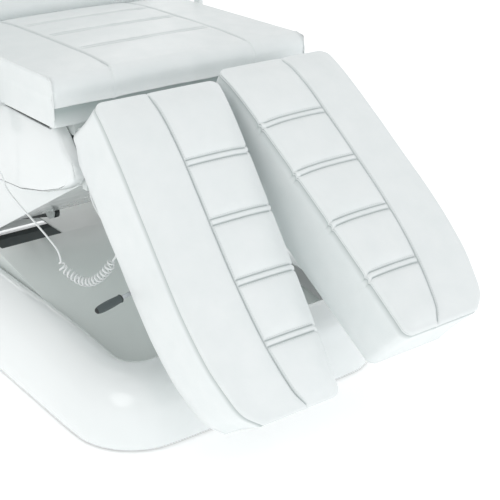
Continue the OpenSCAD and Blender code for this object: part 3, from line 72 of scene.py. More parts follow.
def curveAt(table, s):    # the same, rounded through the pairs
    n = len(table)
    if s <= table[0][0]:
        return table[0][1]
    if s >= table[-1][0]:
        return table[-1][1]
    i = max(k for k in range(n - 1) if table[k][0] <= s)
    (s1, v1), (s2, v2) = table[i], table[i + 1]
    s0, v0 = table[i - 1] if i else (2 * s1 - s2, 2 * v1 - v2)
    s3, v3 = table[i + 2] if i + 2 < n else (2 * s2 - s1, 2 * v2 - v1)
    m1 = (v2 - v0) / (s2 - s0) * (s2 - s1)
    m2 = (v3 - v1) / (s3 - s1) * (s2 - s1)
    t = (s - s1) / (s2 - s1)
    return ((2 * t ** 3 - 3 * t ** 2 + 1) * v1 + (t ** 3 - 2 * t ** 2 + t) * m1
            + (-2 * t ** 3 + 3 * t ** 2) * v2 + (t ** 3 - t ** 2) * m2)


def catmull(route, u):    # point on a rounded curve through a route's points
    i = min(int(u), len(route) - 2)
    t = u - i
    a, b, c, d = (Vector(route[k]) for k in (max(i - 1, 0), i, i + 1, min(i + 2, len(route) - 1)))
    return b + t * (c - a) / 2 + t * t * (2 * a - 5 * b + 4 * c - d) / 2 \
        + t * t * t * (3 * b - a - 3 * c + d) / 2


def addNode(tree, kind, links=(), **settings):    # a node with its settings and what feeds it
    node = tree.nodes.new(kind)
    for name, value in settings.items():
        if hasattr(node, name):
            setattr(node, name, value)
        else:
            node.inputs[name.replace("_", " ")].default_value = value
    for socket, source in links:
        tree.links.new(source, node.inputs[socket])
    return node


def newPiece(name, bm, material, body, replaced=(), matrix=None):
    if matrix is not None:
        bm.transform(matrix)
        if matrix.determinant() < 0:
            bmesh.ops.reverse_faces(bm, faces=bm.faces)
    mesh = bpy.data.meshes.new(name)
    bm.to_mesh(mesh)
    bm.free()
    for poly in mesh.polygons:
        poly.use_smooth = True
    obj = bpy.data.objects.new(name, mesh)
    bpy.context.scene.collection.objects.link(obj)
    mesh.materials.append(material)
    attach(obj, body)
    if replaced:
        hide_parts(*replaced)
    return obj


# Camera, at the photograph's viewing angle

view = {"place": (-1282.77, -1922.70, 1266.83), "yaw": 36.761, "pitch": 23.512, "roll": -0.147,
        "lens": 85.84, "sensor": 36.0}
camData = bpy.data.cameras.new("camera")
camData.lens = view["lens"]
camData.sensor_width = view["sensor"]
camData.clip_end = 60
camera = bpy.data.objects.new("camera", camData)
bpy.context.scene.collection.objects.link(camera)
turn = Matrix.Rotation(-radians(view["yaw"]), 4, "Z") \
    @ Matrix.Rotation(pi / 2 - radians(view["pitch"]), 4, "X") \
    @ Matrix.Rotation(radians(view["roll"]), 4, "Z")
camera.matrix_world = Matrix.Translation(inRow @ Vector(view["place"])) @ turn
bpy.context.scene.camera = camera
print("camera set")


# Materials

def startMaterial(name):
    material = bpy.data.materials.new(name)
    material.use_nodes = True
    tree = material.node_tree
    tree.nodes.clear()
    out = tree.nodes.new("ShaderNodeOutputMaterial")
    shader = tree.nodes.new("ShaderNodeBsdfPrincipled")
    tree.links.new(shader.outputs["BSDF"], out.inputs["Surface"])
    coords = tree.nodes.new("ShaderNodeTexCoord")
    return material, tree, shader, coords.outputs["Object"]


def surface(shader, **values):
    for name, value in values.items():
        shader.inputs[name.replace("_", " ")].default_value = value


def leatherMaterial(name, colour, shade, grainSize, grainDepth, rough):
    # Polyurethane leather, embossed: a soft wide sheen broken up by a fine pebble grain
    material, tree, shader, place = startMaterial(name)
    cells = addNode(tree, "ShaderNodeTexVoronoi", [("Vector", place)], feature="DISTANCE_TO_EDGE",
                    Scale=1000 / grainSize, Randomness=0.9)
    pits = addNode(tree, "ShaderNodeMapRange", [("Value", cells.outputs["Distance"])],
                   **{"From_Max": 0.22})
    folds = addNode(tree, "ShaderNodeTexNoise", [("Vector", place)], Scale=1000 / 45, Detail=4,
                    Roughness=0.55)
    tint = addNode(tree, "ShaderNodeMix", [("Factor", folds.outputs["Fac"])], data_type="RGBA")
    tint.inputs[6].default_value = linear(colour)
    tint.inputs[7].default_value = linear(shade)
    # Painted shade in the seams: the seamShade attribute darkens the leather towards A7B2B1 in the
    # seam grooves and round the seam cords
    paintedShadeMask = addNode(tree, "ShaderNodeVertexColor", layer_name="seamShade")
    paintedShadeMix = addNode(tree, "ShaderNodeMix", [("Factor", paintedShadeMask.outputs["Color"])], data_type="RGBA",
                   blend_type="MIX")
    paintedShadeMix.inputs[7].default_value = linear("A7B2B1")
    tree.links.new(tint.outputs[2], paintedShadeMix.inputs[6])
    tree.links.new(paintedShadeMix.outputs[2], shader.inputs["Base Color"])
    sheen = addNode(tree, "ShaderNodeMapRange", [("Value", folds.outputs["Fac"])],
                    **{"From_Min": 0.3, "From_Max": 0.7, "To_Min": rough - 0.05,
                       "To_Max": rough + 0.07})
    tree.links.new(sheen.outputs["Result"], shader.inputs["Roughness"])
    bump = addNode(tree, "ShaderNodeBump", [("Height", pits.outputs["Result"])],
                   Strength=0.35, Distance=grainDepth / 1000)
    soft = addNode(tree, "ShaderNodeBump", [("Height", folds.outputs["Fac"]),
                   ("Normal", bump.outputs["Normal"])], Strength=0.5, Distance=0.0012)
    tree.links.new(soft.outputs["Normal"], shader.inputs["Normal"])
    surface(shader, IOR=1.5, Specular_IOR_Level=0.42)
    return material


def shellMaterial(name, colour, shade, rough, coat, peel=0.00006):
    # Moulded shell with a gel coat: a glossy skin with a faint orange peel and long soft tints
    material, tree, shader, place = startMaterial(name)
    wide = addNode(tree, "ShaderNodeTexNoise", [("Vector", place)], Scale=1000 / 260, Detail=2)
    tint = addNode(tree, "ShaderNodeMix", [("Factor", wide.outputs["Fac"])], data_type="RGBA")
    tint.inputs[6].default_value = linear(colour)
    tint.inputs[7].default_value = linear(shade)
    tree.links.new(tint.outputs[2], shader.inputs["Base Color"])
    scuffs = addNode(tree, "ShaderNodeTexNoise", [("Vector", place)], Scale=1000 / 38, Detail=6,
                     Roughness=0.62)
    gloss = addNode(tree, "ShaderNodeMapRange", [("Value", scuffs.outputs["Fac"])],
                    **{"From_Min": 0.35, "From_Max": 0.7, "To_Min": rough,
                       "To_Max": rough + 0.08})
    tree.links.new(gloss.outputs["Result"], shader.inputs["Roughness"])
    orange = addNode(tree, "ShaderNodeTexNoise", [("Vector", place)], Scale=1000 / 5, Detail=1)
    bump = addNode(tree, "ShaderNodeBump", [("Height", orange.outputs["Fac"])], Strength=0.4,
                   Distance=peel)
    tree.links.new(bump.outputs["Normal"], shader.inputs["Normal"])
    surface(shader, IOR=1.49, Coat_Weight=coat, Coat_Roughness=0.06)
    return material


def paintMaterial(name, colour, shade, rough, grain):
    # Powder coat on steel: satin, with the fine orange peel that the baked powder leaves
    material, tree, shader, place = startMaterial(name)
    peel = addNode(tree, "ShaderNodeTexNoise", [("Vector", place)], Scale=1000 / grain, Detail=3)
    wide = addNode(tree, "ShaderNodeTexNoise", [("Vector", place)], Scale=1000 / 90, Detail=3)
    tint = addNode(tree, "ShaderNodeMix", [("Factor", wide.outputs["Fac"])], data_type="RGBA")
    tint.inputs[6].default_value = linear(colour)
    tint.inputs[7].default_value = linear(shade)
    tree.links.new(tint.outputs[2], shader.inputs["Base Color"])
    gloss = addNode(tree, "ShaderNodeMapRange", [("Value", wide.outputs["Fac"])],
                    **{"To_Min": rough - 0.06, "To_Max": rough + 0.08})
    tree.links.new(gloss.outputs["Result"], shader.inputs["Roughness"])
    bump = addNode(tree, "ShaderNodeBump", [("Height", peel.outputs["Fac"])], Strength=0.5,
                   Distance=0.00012)
    tree.links.new(bump.outputs["Normal"], shader.inputs["Normal"])
    surface(shader, IOR=1.5)
    return material


def plasticMaterial(name, colour, shade, rough, grain, depth):
    # Moulded ABS or nylon with a spark-eroded texture
    material, tree, shader, place = startMaterial(name)
    grit = addNode(tree, "ShaderNodeTexNoise", [("Vector", place)], Scale=1000 / grain, Detail=2,
                   Roughness=0.6)
    wide = addNode(tree, "ShaderNodeTexNoise", [("Vector", place)], Scale=1000 / 30, Detail=3)
    tint = addNode(tree, "ShaderNodeMix", [("Factor", wide.outputs["Fac"])], data_type="RGBA")
    tint.inputs[6].default_value = linear(colour)
    tint.inputs[7].default_value = linear(shade)
    tree.links.new(tint.outputs[2], shader.inputs["Base Color"])
    gloss = addNode(tree, "ShaderNodeMapRange", [("Value", grit.outputs["Fac"])],
                    **{"To_Min": rough - 0.05, "To_Max": rough + 0.1})
    tree.links.new(gloss.outputs["Result"], shader.inputs["Roughness"])
    bump = addNode(tree, "ShaderNodeBump", [("Height", grit.outputs["Fac"])], Strength=0.4,
                   Distance=depth)
    tree.links.new(bump.outputs["Normal"], shader.inputs["Normal"])
    surface(shader, IOR=1.46)
    return material


def metalMaterial(name, colour, shade, rough, grain, stretch):
    # Drawn and polished steel: bright, with hair lines along the rod
    material, tree, shader, place = startMaterial(name)
    turned = addNode(tree, "ShaderNodeMapping", [("Vector", place)], Scale=stretch)
    lines = addNode(tree, "ShaderNodeTexNoise", [("Vector", turned.outputs["Vector"])],
                    Scale=1000 / grain, Detail=3)
    tint = addNode(tree, "ShaderNodeMix", [("Factor", lines.outputs["Fac"])], data_type="RGBA")
    tint.inputs[6].default_value = linear(colour)
    tint.inputs[7].default_value = linear(shade)
    tree.links.new(tint.outputs[2], shader.inputs["Base Color"])
    gloss = addNode(tree, "ShaderNodeMapRange", [("Value", lines.outputs["Fac"])],
                    **{"To_Min": rough, "To_Max": rough + 0.14})
    tree.links.new(gloss.outputs["Result"], shader.inputs["Roughness"])
    surface(shader, Metallic=1.0)
    return material


finish = {
    "upholstery": leatherMaterial("whitePuLeather", "EDF1F1", "E3E9E9", 1.5, 0.10, 0.42),
    "piping": leatherMaterial("whitePuPiping", "EEF1F1", "E2E8E8", 1.1, 0.05, 0.38),
    "thread": plasticMaterial("polyesterThread", "E2E6E6", "D2D8D8", 0.6, 0.5, 0.0001),
    "whiteShell": shellMaterial("whiteGelCoat", "EFF3F3", "E8EDED", 0.16, 0.55),
    "deckShell": shellMaterial("greyWhiteGelCoat", "DDE3E1", "D6DDDA", 0.34, 0.15),
    "framePaint": paintMaterial("greyWhitePowderCoat", "C9CFCE", "BCC3C2", 0.42, 0.9),
    # dark grey powder coat, made darker still as painted shade for the shaded slot the lift arms
    # show through
    "armPaint": paintMaterial("darkGreyPowderCoat", "333B3C", "2A3132", 0.45, 0.9),
    "armrestPaint": paintMaterial("whitePowderCoat", "E8ECEC", "DEE3E3", 0.36, 0.9),
    "board": plasticMaterial("laminatedBoard", "D5D9D7", "C8CDCB", 0.5, 1.2, 0.0001),
    "motorCase": plasticMaterial("blackNylonCase", "2F3335", "272A2C", 0.5, 0.8, 0.00012),
    "steel": metalMaterial("polishedSteelRod", "D3D5D8", "B9BCC0", 0.12, 0.7, (1, 0.06, 1)),
    "footRubber": plasticMaterial("blackRubberFoot", "1E1F20", "161718", 0.75, 0.7, 0.0002),
    "gripRubber": plasticMaterial("darkGreyRubberGrip", "4E5859", "434C4D", 0.48, 0.6, 0.00012),
    # painted shade: a dark grey standing in for the shade inside the slot under the carriage
    "darkInside": paintMaterial("shadedInnerFrame", "5A6262", "4C5454", 0.5, 0.9),
    "gripRim": plasticMaterial("blackRubberRim", "2A3030", "232828", 0.5, 0.6, 0.0001),
    "inlet": plasticMaterial("blackInletPlastic", "1B1C1E", "151617", 0.42, 0.5, 0.00008),
    "handset": plasticMaterial("lightGreyAbs", "DFE4E3", "D6DCDB", 0.38, 0.6, 0.00008),
    "keys": plasticMaterial("blueGreyKeyRubber", "8FA5B2", "8499A6", 0.55, 0.5, 0.0001),
    "cord": plasticMaterial("whitePvcJacket", "EDF0F0", "E4E8E8", 0.33, 1.5, 0.00005),
}
print("materials made:", len(finish))


def roundCurve(name, radius, resolution):    # an empty curve that draws a round cord
    curve = bpy.data.curves.new(name, "CURVE")
    curve.dimensions = "3D"
    curve.bevel_depth = radius / 1000
    curve.bevel_resolution = resolution
    curve.use_fill_caps = True
    return curve


# Handset cord: straight, then curled, then up to its socket

cordFacts = {
    "thickness": 4.0, "curlAcross": 20.5, "curls": 17, "ringsPerCurl": 20,
    "upper": [(-352, 312, 500), (-352, 312, 490), (-351, 310, 480), (-343, 300, 468),
              (-326, 278, 458), (-312, 258, 446), (-303, 247, 426), (-300, 238, 402),
              (-298, 220, 389), (-294, 196, 375), (-290, 173, 363), (-286, 150, 351),
              (-281, 124, 336), (-275, 102, 320), (-269, 88, 304), (-266, 84, 290),
              (-265, 83, 281)],
    "curlAxis": [(-265, 83, 281), (-263, 85, 268), (-257, 80, 259), (-250, 66, 250),
                 (-243, 44, 244), (-235, 16, 249), (-227, -9, 267), (-219, -28, 290),
                 (-213, -42, 313)],
    "lower": [(-213, -42, 313), (-210, -46, 321), (-209, -48, 334), (-214, -44, 360),
              (-223, -33, 388), (-231, -18, 413), (-234, -6, 434), (-234, -2, 446),
              (-234, -2, 455)],
}


def curledRoute(facts):
    axis = facts["curlAxis"]
    thick = facts["thickness"]
    run = [0.0]
    for a, b in zip(axis, axis[1:]):
        run.append(run[-1] + (Vector(b) - Vector(a)).length)
    table = [(r, i) for i, r in enumerate(run)]
    steps = facts["curls"] * facts["ringsPerCurl"]
    onAxis = lambda i: catmull(axis, tableAt(table, thick + (run[-1] - 2 * thick) * i / steps))
    radius = (facts["curlAcross"] - thick) / 2
    points = []
    for i in range(2, steps - 1):
        along = (onAxis(min(i + 1, steps)) - onAxis(max(i - 1, 0))).normalized()
        side = along.cross(Vector((1, 0, 0))).normalized()
        other = along.cross(side)
        w = 2 * pi * i / facts["ringsPerCurl"]
        grown = smooth(min(i, steps - i) / (facts["ringsPerCurl"] * 0.9))
        points.append(onAxis(i) + radius * grown * (side * cos(w) + other * sin(w)))
    return points


def smoothRoute(route, steps):
    return [catmull(route, i / steps) for i in range(steps * (len(route) - 1) + 1)]


cordPoints = smoothRoute(cordFacts["upper"], 3)[:-1] + curledRoute(cordFacts) \
    + smoothRoute(cordFacts["lower"], 3)[1:]
cordPoints = [inRow @ p for p in cordPoints]
cordLength = sum((b - a).length for a, b in zip(cordPoints, cordPoints[1:]))
cordCurve = roundCurve("handsetCord", cordFacts["thickness"] / 2, 4)
cordLine = cordCurve.splines.new("POLY")
cordLine.points.add(len(cordPoints) - 1)
for spot, p in zip(cordLine.points, cordPoints):
    spot.co = (*p, 1)
cordCurve.materials.append(finish["cord"])
handsetCord = bpy.data.objects.new("handsetCord", cordCurve)
bpy.context.scene.collection.objects.link(handsetCord)
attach(handsetCord, "seat")
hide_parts("handset_cord_upper", "handset_cord_curls", "handset_cord_lower")
tuple(cordPoints[0])
print("handset cord:", round(cordLength, 3), "m")


# Cushions: a dense top sheet, sides drawn down round it, then a seam cord and stitches

def stops(anchors, coarse):    # anchors, and even steps between them
    out = []
    for a, b in zip(anchors, anchors[1:]):
        steps = max(1, ceil((b - a) / coarse))
        out += [lerp(a, b, k / steps) for k in range(steps)]
    return out + [anchors[-1]]


nearSeam = (-6, -2.6, -1.1, 0, 1.1, 2.6)    # mm from a seam, closer where its groove is steep


def seamStops(seams, half, low, high):    # stations across each double seam
    near = {low, high}
    for p in seams:
        near |= {p + side * half + d for side in (-1, 1) for d in nearSeam}
        near |= {p, p - half - 12, p + half + 12}
    return sorted(near)


def wrinkle(x, y, z, scale, depth):
    return depth * noise.noise(Vector((x, y, z)) / scale)


# Steps of a cushion's underside in mm: past its low edge, then past the skirt, then turned in
underEdge, underSkirt, underTurn = 5, 6, 14
seamDrop = 3.6    # how far under the rolled edge the side begins


def roundedPlan(facts, widthAt, least, sideShare=1):    # a rectangle with rounded corners
    l = facts["length"]

    def place(s, f, e):
        w, side = widthAt(s), e * sideShare
        x, y = lerp(-w / 2 + side, w / 2 - side, f), facts["start"] + lerp(e, l - e, s)
        r = max(facts["corner"] - e, least)
        for sx in (-1, 1):
            for cy, sy in ((facts["start"] + e + r, -1), (facts["start"] + l - e - r, 1)):
                dx, dy = x * sx - (w / 2 - side - r), (y - cy) * sy
                if dx > 0 and dy > 0:
                    k = max(dx, dy) / sqrt(dx * dx + dy * dy)
                    x, y = sx * (w / 2 - side - r + dx * k), cy + sy * dy * k
        return x, y
    return place


def cushion(name, facts, rows, colsAt, place, top, body, matrix, replaced, lift=None):
    # place(s, f, inset) gives the plan and top(s, f) the height and how deep in a seam it is; that
    # depth becomes painted shade in the seamShade attribute
    length, n, m = rows[-1], len(rows), len(colsAt(0.0))
    columns = [colsAt(v / length) for v in rows]
    edge, base = facts["edge"], facts["base"]
    bm = bmesh.new()
    bmesh.ops.create_grid(bm, x_segments=m - 1, y_segments=n - 1, size=0.5)
    # seamShade holds painted shade: darker in the seam grooves and round the seam cords
    shade = bm.verts.layers.float_color.new("seamShade")
    share = bm.verts.layers.float_vector.new("share")
    for v in bm.verts:
        i, j = round((v.co.y + 0.5) * (n - 1)), round((v.co.x + 0.5) * (m - 1))
        s, f = rows[i] / length, columns[i][j]
        z, deep = top(s, f)
        x, y = place(s, f, edge)
        v[share] = (s, f, z)
        v[shade] = (deep, deep, deep, 1)
        v.co = (x, y, z)
    low, seam = facts["lowEdge"], facts.get("seamAt", 0.93)
    if facts["seamPlace"] == "top":    # a seam cord round the edge of the top
        rings = [(edge * (1 - sin(a)), (edge - 3) * (1 - cos(a)), 0.0)
                 for a in (0.35, 0.7, 1.05, 1.35)]
        # the third number of each ring is painted shade, darkest in the groove round the seam cord
        rings += [(1.2, edge - 2.4, 0.9), (3.2, edge + 0.2, 1.0), (3.4, edge + 1.8, 1.0),
                  (0.8, edge + 4.6, 0.5)]
        rings += [(facts["pull"] * sin(pi * t), ("side", t), 0.0)
                  for t in (0.1, 0.25, 0.4, 0.55, 0.7, 0.85, 1.0)]
    else:    # the cover rolls over the edge to a seam cord low on the side
        rings = [(edge * (1 - sin(a)), edge * (1 - cos(a)), 0.0)
                 for a in (0.2, 0.4, 0.6, 0.8, 1.0, 1.2, 1.4, pi / 2)]
        rings += [(facts["pull"] * sin(pi * t), ("side", seam * t), 0.0)
                  for t in (0.2, 0.4, 0.6, 0.8, 0.92, 0.965)]
        # painted shade at the seam cord low on the side
        rings += [(1.8, ("side", seam), 1.0), (2.4, ("side", lerp(seam, 1, 0.3)), 1.0),
                  (0.6, ("side", 1.0), 0.3)]
    if "skirt" in facts:    # the cover turns in under the board's edge
        rings += [(low * 0.4, ("at", base + low * 0.35), 0.0), (low, ("at", base), 0.0),
                  (low + underEdge, ("at", base), 0.0)]
        rings += [(low + d, ("at", base + facts["skirt"]), 0.0) for d in (underSkirt, underTurn)]
    else:
        rings += [(low + underTurn, ("at", base), 0.0)]
    rim = [e for e in bm.edges if e.is_boundary]
    seamLine = []

    def dropShare(s, f):    # a side panel meets the top at a tighter edge than the front does
        return facts.get("sideShare", 1) if f in (0, 1) and 0 < s < 1 else 1

    for inset, drop, given in rings:
        made = bmesh.ops.extrude_edge_only(bm, edges=rim)["geom"]
        rim = [g for g in made if isinstance(g, bmesh.types.BMEdge)]
        for v in (g for g in made if isinstance(g, bmesh.types.BMVert)):
            (s, f, z), deep = v[share], given
            x, y = place(s, f, inset)
            if not isinstance(drop, tuple):
                z -= drop * dropShare(s, f)
            elif drop[0] == "side":
                z = lerp(z - (edge + seamDrop) * dropShare(s, f), base + low, drop[1])
                # no painted seam shade on the side panels behind the front welt
                if "frontWelt" in facts and s > 0:
                    deep = 0
                y += facts.get("tuck", 0) * s * drop[1]
            else:
                z = drop[1]
                y += facts.get("tuck", 0) * s
            if lift and isinstance(drop, tuple):
                up = lift(s, x) * (drop[1] if drop[0] == "side" else 1)
                z = min(z + up, base + facts["skirt"]) if drop[0] == "at" else z + up
            v[shade] = (deep, deep, deep, 1)
            v.co = (x, y, z)
            if drop == edge + 0.2 or drop == ("side", seam):
                seamLine.append(v)
    under = bmesh.ops.contextual_create(bm, geom=rim)["faces"]
    if "pocket" in facts:    # room for the hinge under the pad
        near, far = facts["pocket"]
        for k in (0, 1):
            for edgeAt in (near[k], far[k]):
                geom = set(under)
                for face in under:
                    geom |= set(face.edges) | set(face.verts)
                cut = bmesh.ops.bisect_plane(
                    bm, geom=list(geom), plane_co=[edgeAt if i == k else 0 for i in range(3)],
                    plane_no=[1 if i == k else 0 for i in range(3)])["geom"]
                under = [g for g in cut if isinstance(g, bmesh.types.BMFace)]
        deepFaces = [face for face in under if all(
            near[k] < face.calc_center_median()[k] < far[k] for k in (0, 1))]
        made = bmesh.ops.extrude_face_region(bm, geom=deepFaces)["geom"]
        bmesh.ops.delete(bm, geom=deepFaces, context="FACES_ONLY")
        for v in (g for g in made if isinstance(g, bmesh.types.BMVert)):
            v.co.z = far[2]
    crumple = facts.get("crumple", 0.5)
    for v in bm.verts:    # the cover's own small unevenness
        x, y, z = v.co
        if z > base + 1:
            v.co.z += wrinkle(x, y, z, 70, crumple) + wrinkle(x + 300, y, z, 26, crumple * 0.35)
            v.co.x += wrinkle(y, z, x, 60, crumple)
    bmesh.ops.recalc_face_normals(bm, faces=bm.faces)
    bm.verts.index_update()
    seamIds = {v.index for v in seamLine}
    first = seamLine[0]
    walk, last, here = [first], None, first    # round the seam, vertex by vertex
    while True:
        nxt = [e.other_vert(here) for e in here.link_edges
               if e.other_vert(here).index in seamIds and e.other_vert(here) is not last]
        nxt = [v for v in nxt if v is first or v not in walk[-3:]]
        if not nxt or (nxt[0] is first and len(walk) > 3):
            break
        last, here = here, nxt[0]
        walk.append(here)
    line = [matrix @ v.co.copy() for v in walk]
    obj = newPiece(name, bm, finish["upholstery"], body, replaced, matrix)
    return obj, line


def thinned(points, step):    # points at least a step apart along a line
    out = [points[0]]
    for p in points[1:]:
        if (p - out[-1]).length >= step:
            out.append(p)
    return out


stitchForm = ((-0.5, 0.3), (-0.3, 1), (0.3, 1), (0.5, 0.3))    # place along, share of radius


def stitches(name, lines, facts, material, body):    # short proud thread ends in rows
    length, step = facts["stitch"] / 1000, facts["stitchStep"] / 1000
    curve = roundCurve(name + "Path", facts["threadRadius"], 1)
    for line in lines:
        travelled, due = 0.0, step
        for a, b in zip(line, line[1:]):
            span = (b - a).length
            while span > 0 and due <= travelled + span:
                spot, along = a.lerp(b, (due - travelled) / span), (b - a).normalized()
                thread = curve.splines.new("POLY")
                thread.points.add(3)
                for point, (t, thick) in zip(thread.points, stitchForm):
                    point.co = (*(spot + along * length * t), 1)
                    point.radius = thick
                due += step
            travelled += span
    return curvePiece(name, curve, material, body)


def curvePiece(name, curve, material, body):    # the curve's mesh becomes the piece
    holder = bpy.data.objects.new(name + "Path", curve)
    bpy.context.scene.collection.objects.link(holder)
    mesh = bpy.data.meshes.new_from_object(holder)
    mesh.name = name
    bpy.data.objects.remove(holder)
    mesh.materials.clear()
    mesh.materials.append(material)
    for poly in mesh.polygons:
        poly.use_smooth = True
    obj = bpy.data.objects.new(name, mesh)
    bpy.context.scene.collection.objects.link(obj)
    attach(obj, body)
    return obj


def softTube(name, points, radius, material, body, closed=False):    # seam cords
    curve = roundCurve(name + "Path", radius, 2)
    line = curve.splines.new("POLY")
    line.points.add(len(points) - 1)
    for spot, p in zip(line.points, points):
        spot.co = (*p, 1)
    line.use_cyclic_u = closed
    return curvePiece(name, curve, material, body)


# Leg cushions

legFacts = {
    "length": 640, "width": 280, "drift": 32, "top": 113, "gap": 20, "back": 50, "crown": 20,
    "edge": 8, "lowEdge": 10, "pull": 2.5, "base": -34, "skirt": 29, "cornerLift": 16,
    "tuck": 18, "corner": 18, "liftUntil": 24, "liftFade": 40, "forkReach": 226, "forkFade": 14,
    "seamPlace": "top", "seams": (152, 273, 394, 515), "half": 6, "groove": 3.4, "puff": 6.0,
    "outerPuff": 4.5, "hingeY": -64, "hingeZ": 550, "pitch": {"left": 49.0, "right": 35.4},
    "widths": [(0, 0.965), (0.1, 0.97), (0.25, 0.975), (0.45, 0.98), (0.65, 0.98), (0.8, 0.95),
               (0.9, 0.895), (0.96, 0.84), (1, 0.74)],
    "crowns": [(0, 0), (0.06, 0.6), (0.14, 0.92), (0.23, 1), (0.43, 0.92), (0.62, 0.77),
               (0.81, 0.46), (1, 0)],
    "strip": [(0, 0.58), (0.2, 0.56), (0.55, 0.54), (0.8, 0.5), (1, 0.44)],
    "crumple": 0.5, "stitch": 3.2, "threadRadius": 0.45, "stitchStep": 5.0, "pipe": 2.3,
    "pocket": ((62, -28, -5), (158, 22, 17)),
}


def legCushion(side):
    facts = legFacts
    l, half = facts["length"], facts["half"]
    rows = stops([0, 3, 8] + seamStops(facts["seams"], half, 16, l - 24)
                 + [l - 14, l - 6, l], 6)
    rows = sorted(set(round(r, 3) for r in rows))

    def widthAt(s):
        return facts["width"] * curveAt(facts["widths"], s) - facts["drift"] * s

    def colsAt(s):
        k, w = curveAt(facts["strip"], s), widthAt(s)
        near = [k + d / w for d in (-14, *nearSeam, 6, 14)]
        inner = [k * t * (1 - 14 / w / k) for t in (0, 0.02, 0.05, 0.1, 0.17, 0.24, 0.31, 0.38,
                 0.45, 0.52, 0.59, 0.66, 0.73, 0.8, 0.87, 0.94)]
        start = near[-1]
        outer = [lerp(start, 1, t) for t in (0.06, 0.12, 0.19, 0.26, 0.33, 0.4, 0.47, 0.54, 0.61,
                 0.68, 0.75, 0.82, 0.88, 0.93, 0.97, 1)]
        return inner + near + outer

    def place(s, f, e):
        start = facts["gap"] / 2 + facts["drift"] * s
        w = widthAt(s)
        x = start + lerp(e, w - e, f)
        y = facts["back"] - lerp(e, l - e, s)
        r = max(facts["corner"] - e, 2)
        for cx, sx in ((start + e + r, -1), (start + w - e - r, 1)):
            for cy, sy in ((facts["back"] - e - r, 1), (facts["back"] - l + e + r, -1)):
                dx, dy = (x - cx) * sx, (y - cy) * sy
                if dx > 0 and dy > 0 and not (sx > 0 and sy < 0):
                    k = max(dx, dy) / sqrt(dx * dx + dy * dy)
                    x, y = cx + sx * dx * k, cy + sy * dy * k
        return x, y

    def top(s, f):
        k, w, v = curveAt(facts["strip"], s), widthAt(s), s * l
        z = facts["top"] + facts["crown"] * curveAt(facts["crowns"], s) * (
            1 - 0.4 * (2 * f - 1) ** 4)
        d = (f - k) * w
        z -= facts["groove"] * (exp(-(d / 1.5) ** 2) + 0.45 * exp(-(d / 9) ** 2))
        # deep is painted shade in the seam grooves, passed on to the seamShade attribute
        deep = exp(-(d / 1.6) ** 2)
        if f < k:    # the inner strip, with its double seams
            a = max(0, min(1, f / k))
            bounds = [0, *facts["seams"], l]
            lo = max(b for b in bounds if b <= v + 0.001)
            hi = min([b for b in bounds if b > v] or [l])
            b = (v - lo) / max(hi - lo, 1)
            z += facts["puff"] * (1 - abs(2 * a - 1) ** 3) * (1 - abs(2 * b - 1) ** 4)
            for p in facts["seams"]:
                q = abs(abs(v - p) - half)
                if abs(v - p) < half + 14:
                    cut = facts["groove"] * (exp(-(q / 1.4) ** 2) + 0.35 * exp(-(q / 8) ** 2))
                    fade = smooth(min(1, (k - f) * w / 5))
                    z -= cut * fade
                    z += 1.3 * exp(-((v - p) / 4.2) ** 2) * fade
                    deep = max(deep, exp(-(q / 1.5) ** 2) * fade)
                    z += 0.7 * noise.noise(Vector((f * w / 14, p, 0))) * exp(
                        -(max(0, abs(v - p) - half) / 10) ** 2)
        else:
            a = (f - k) / (1 - k)
            z += facts["outerPuff"] * (1 - abs(2 * a - 1) ** 2.6) * (1 - abs(2 * s - 1) ** 6)
        return z, min(1, deep * 0.75)

    def lift(s, x):    # the skirt stops short of the hinge's fork when the pad is level
        along = 1 - smooth((s * l - facts["liftUntil"]) / facts["liftFade"])
        across = smooth((x - facts["forkReach"]) / facts["forkFade"])
        return along * lerp(facts["skirt"], facts["cornerLift"], across)

    sign = 1 if side == "right" else -1
    matrix = inRow @ Matrix.Translation((0, facts["hingeY"], facts["hingeZ"])) \
        @ Matrix.Rotation(radians(facts["pitch"][side]), 4, "X") @ Matrix.Diagonal((sign, 1, 1, 1))
    pad, line = cushion("legPad_" + side, facts, rows, colsAt, place, top, "leg_" + side, matrix,
                        ["leg_cushion_" + side], lift=lift)
    softTube("legPiping_" + side, thinned(line, 0.003), facts["pipe"], finish["piping"],
             "leg_" + side, closed=True)
    lines = []
    spot = lambda s, f: matrix @ Vector((*place(s, f, facts["edge"]), top(s, f)[0] + 0.5))
    for d in (-3.4, 3.4):    # beside the long seam
        lines.append([spot(i / 160, curveAt(facts["strip"], i / 160) + d / widthAt(i / 160))
                      for i in range(2, 159)])
    for p in facts["seams"]:
        for d in (-half - 3.0, half + 3.0):
            s = (p + d) / l
            k = curveAt(facts["strip"], s)
            lines.append([spot(s, lerp(0.02, k - 0.02, i / 24)) for i in range(25)])
    stitches("legStitches_" + side, lines, facts, finish["thread"], "leg_" + side)
    print("leg cushion", side, len(pad.data.polygons), "faces")


for side in ("left", "right"):
    legCushion(side)


# Seat and back cushions

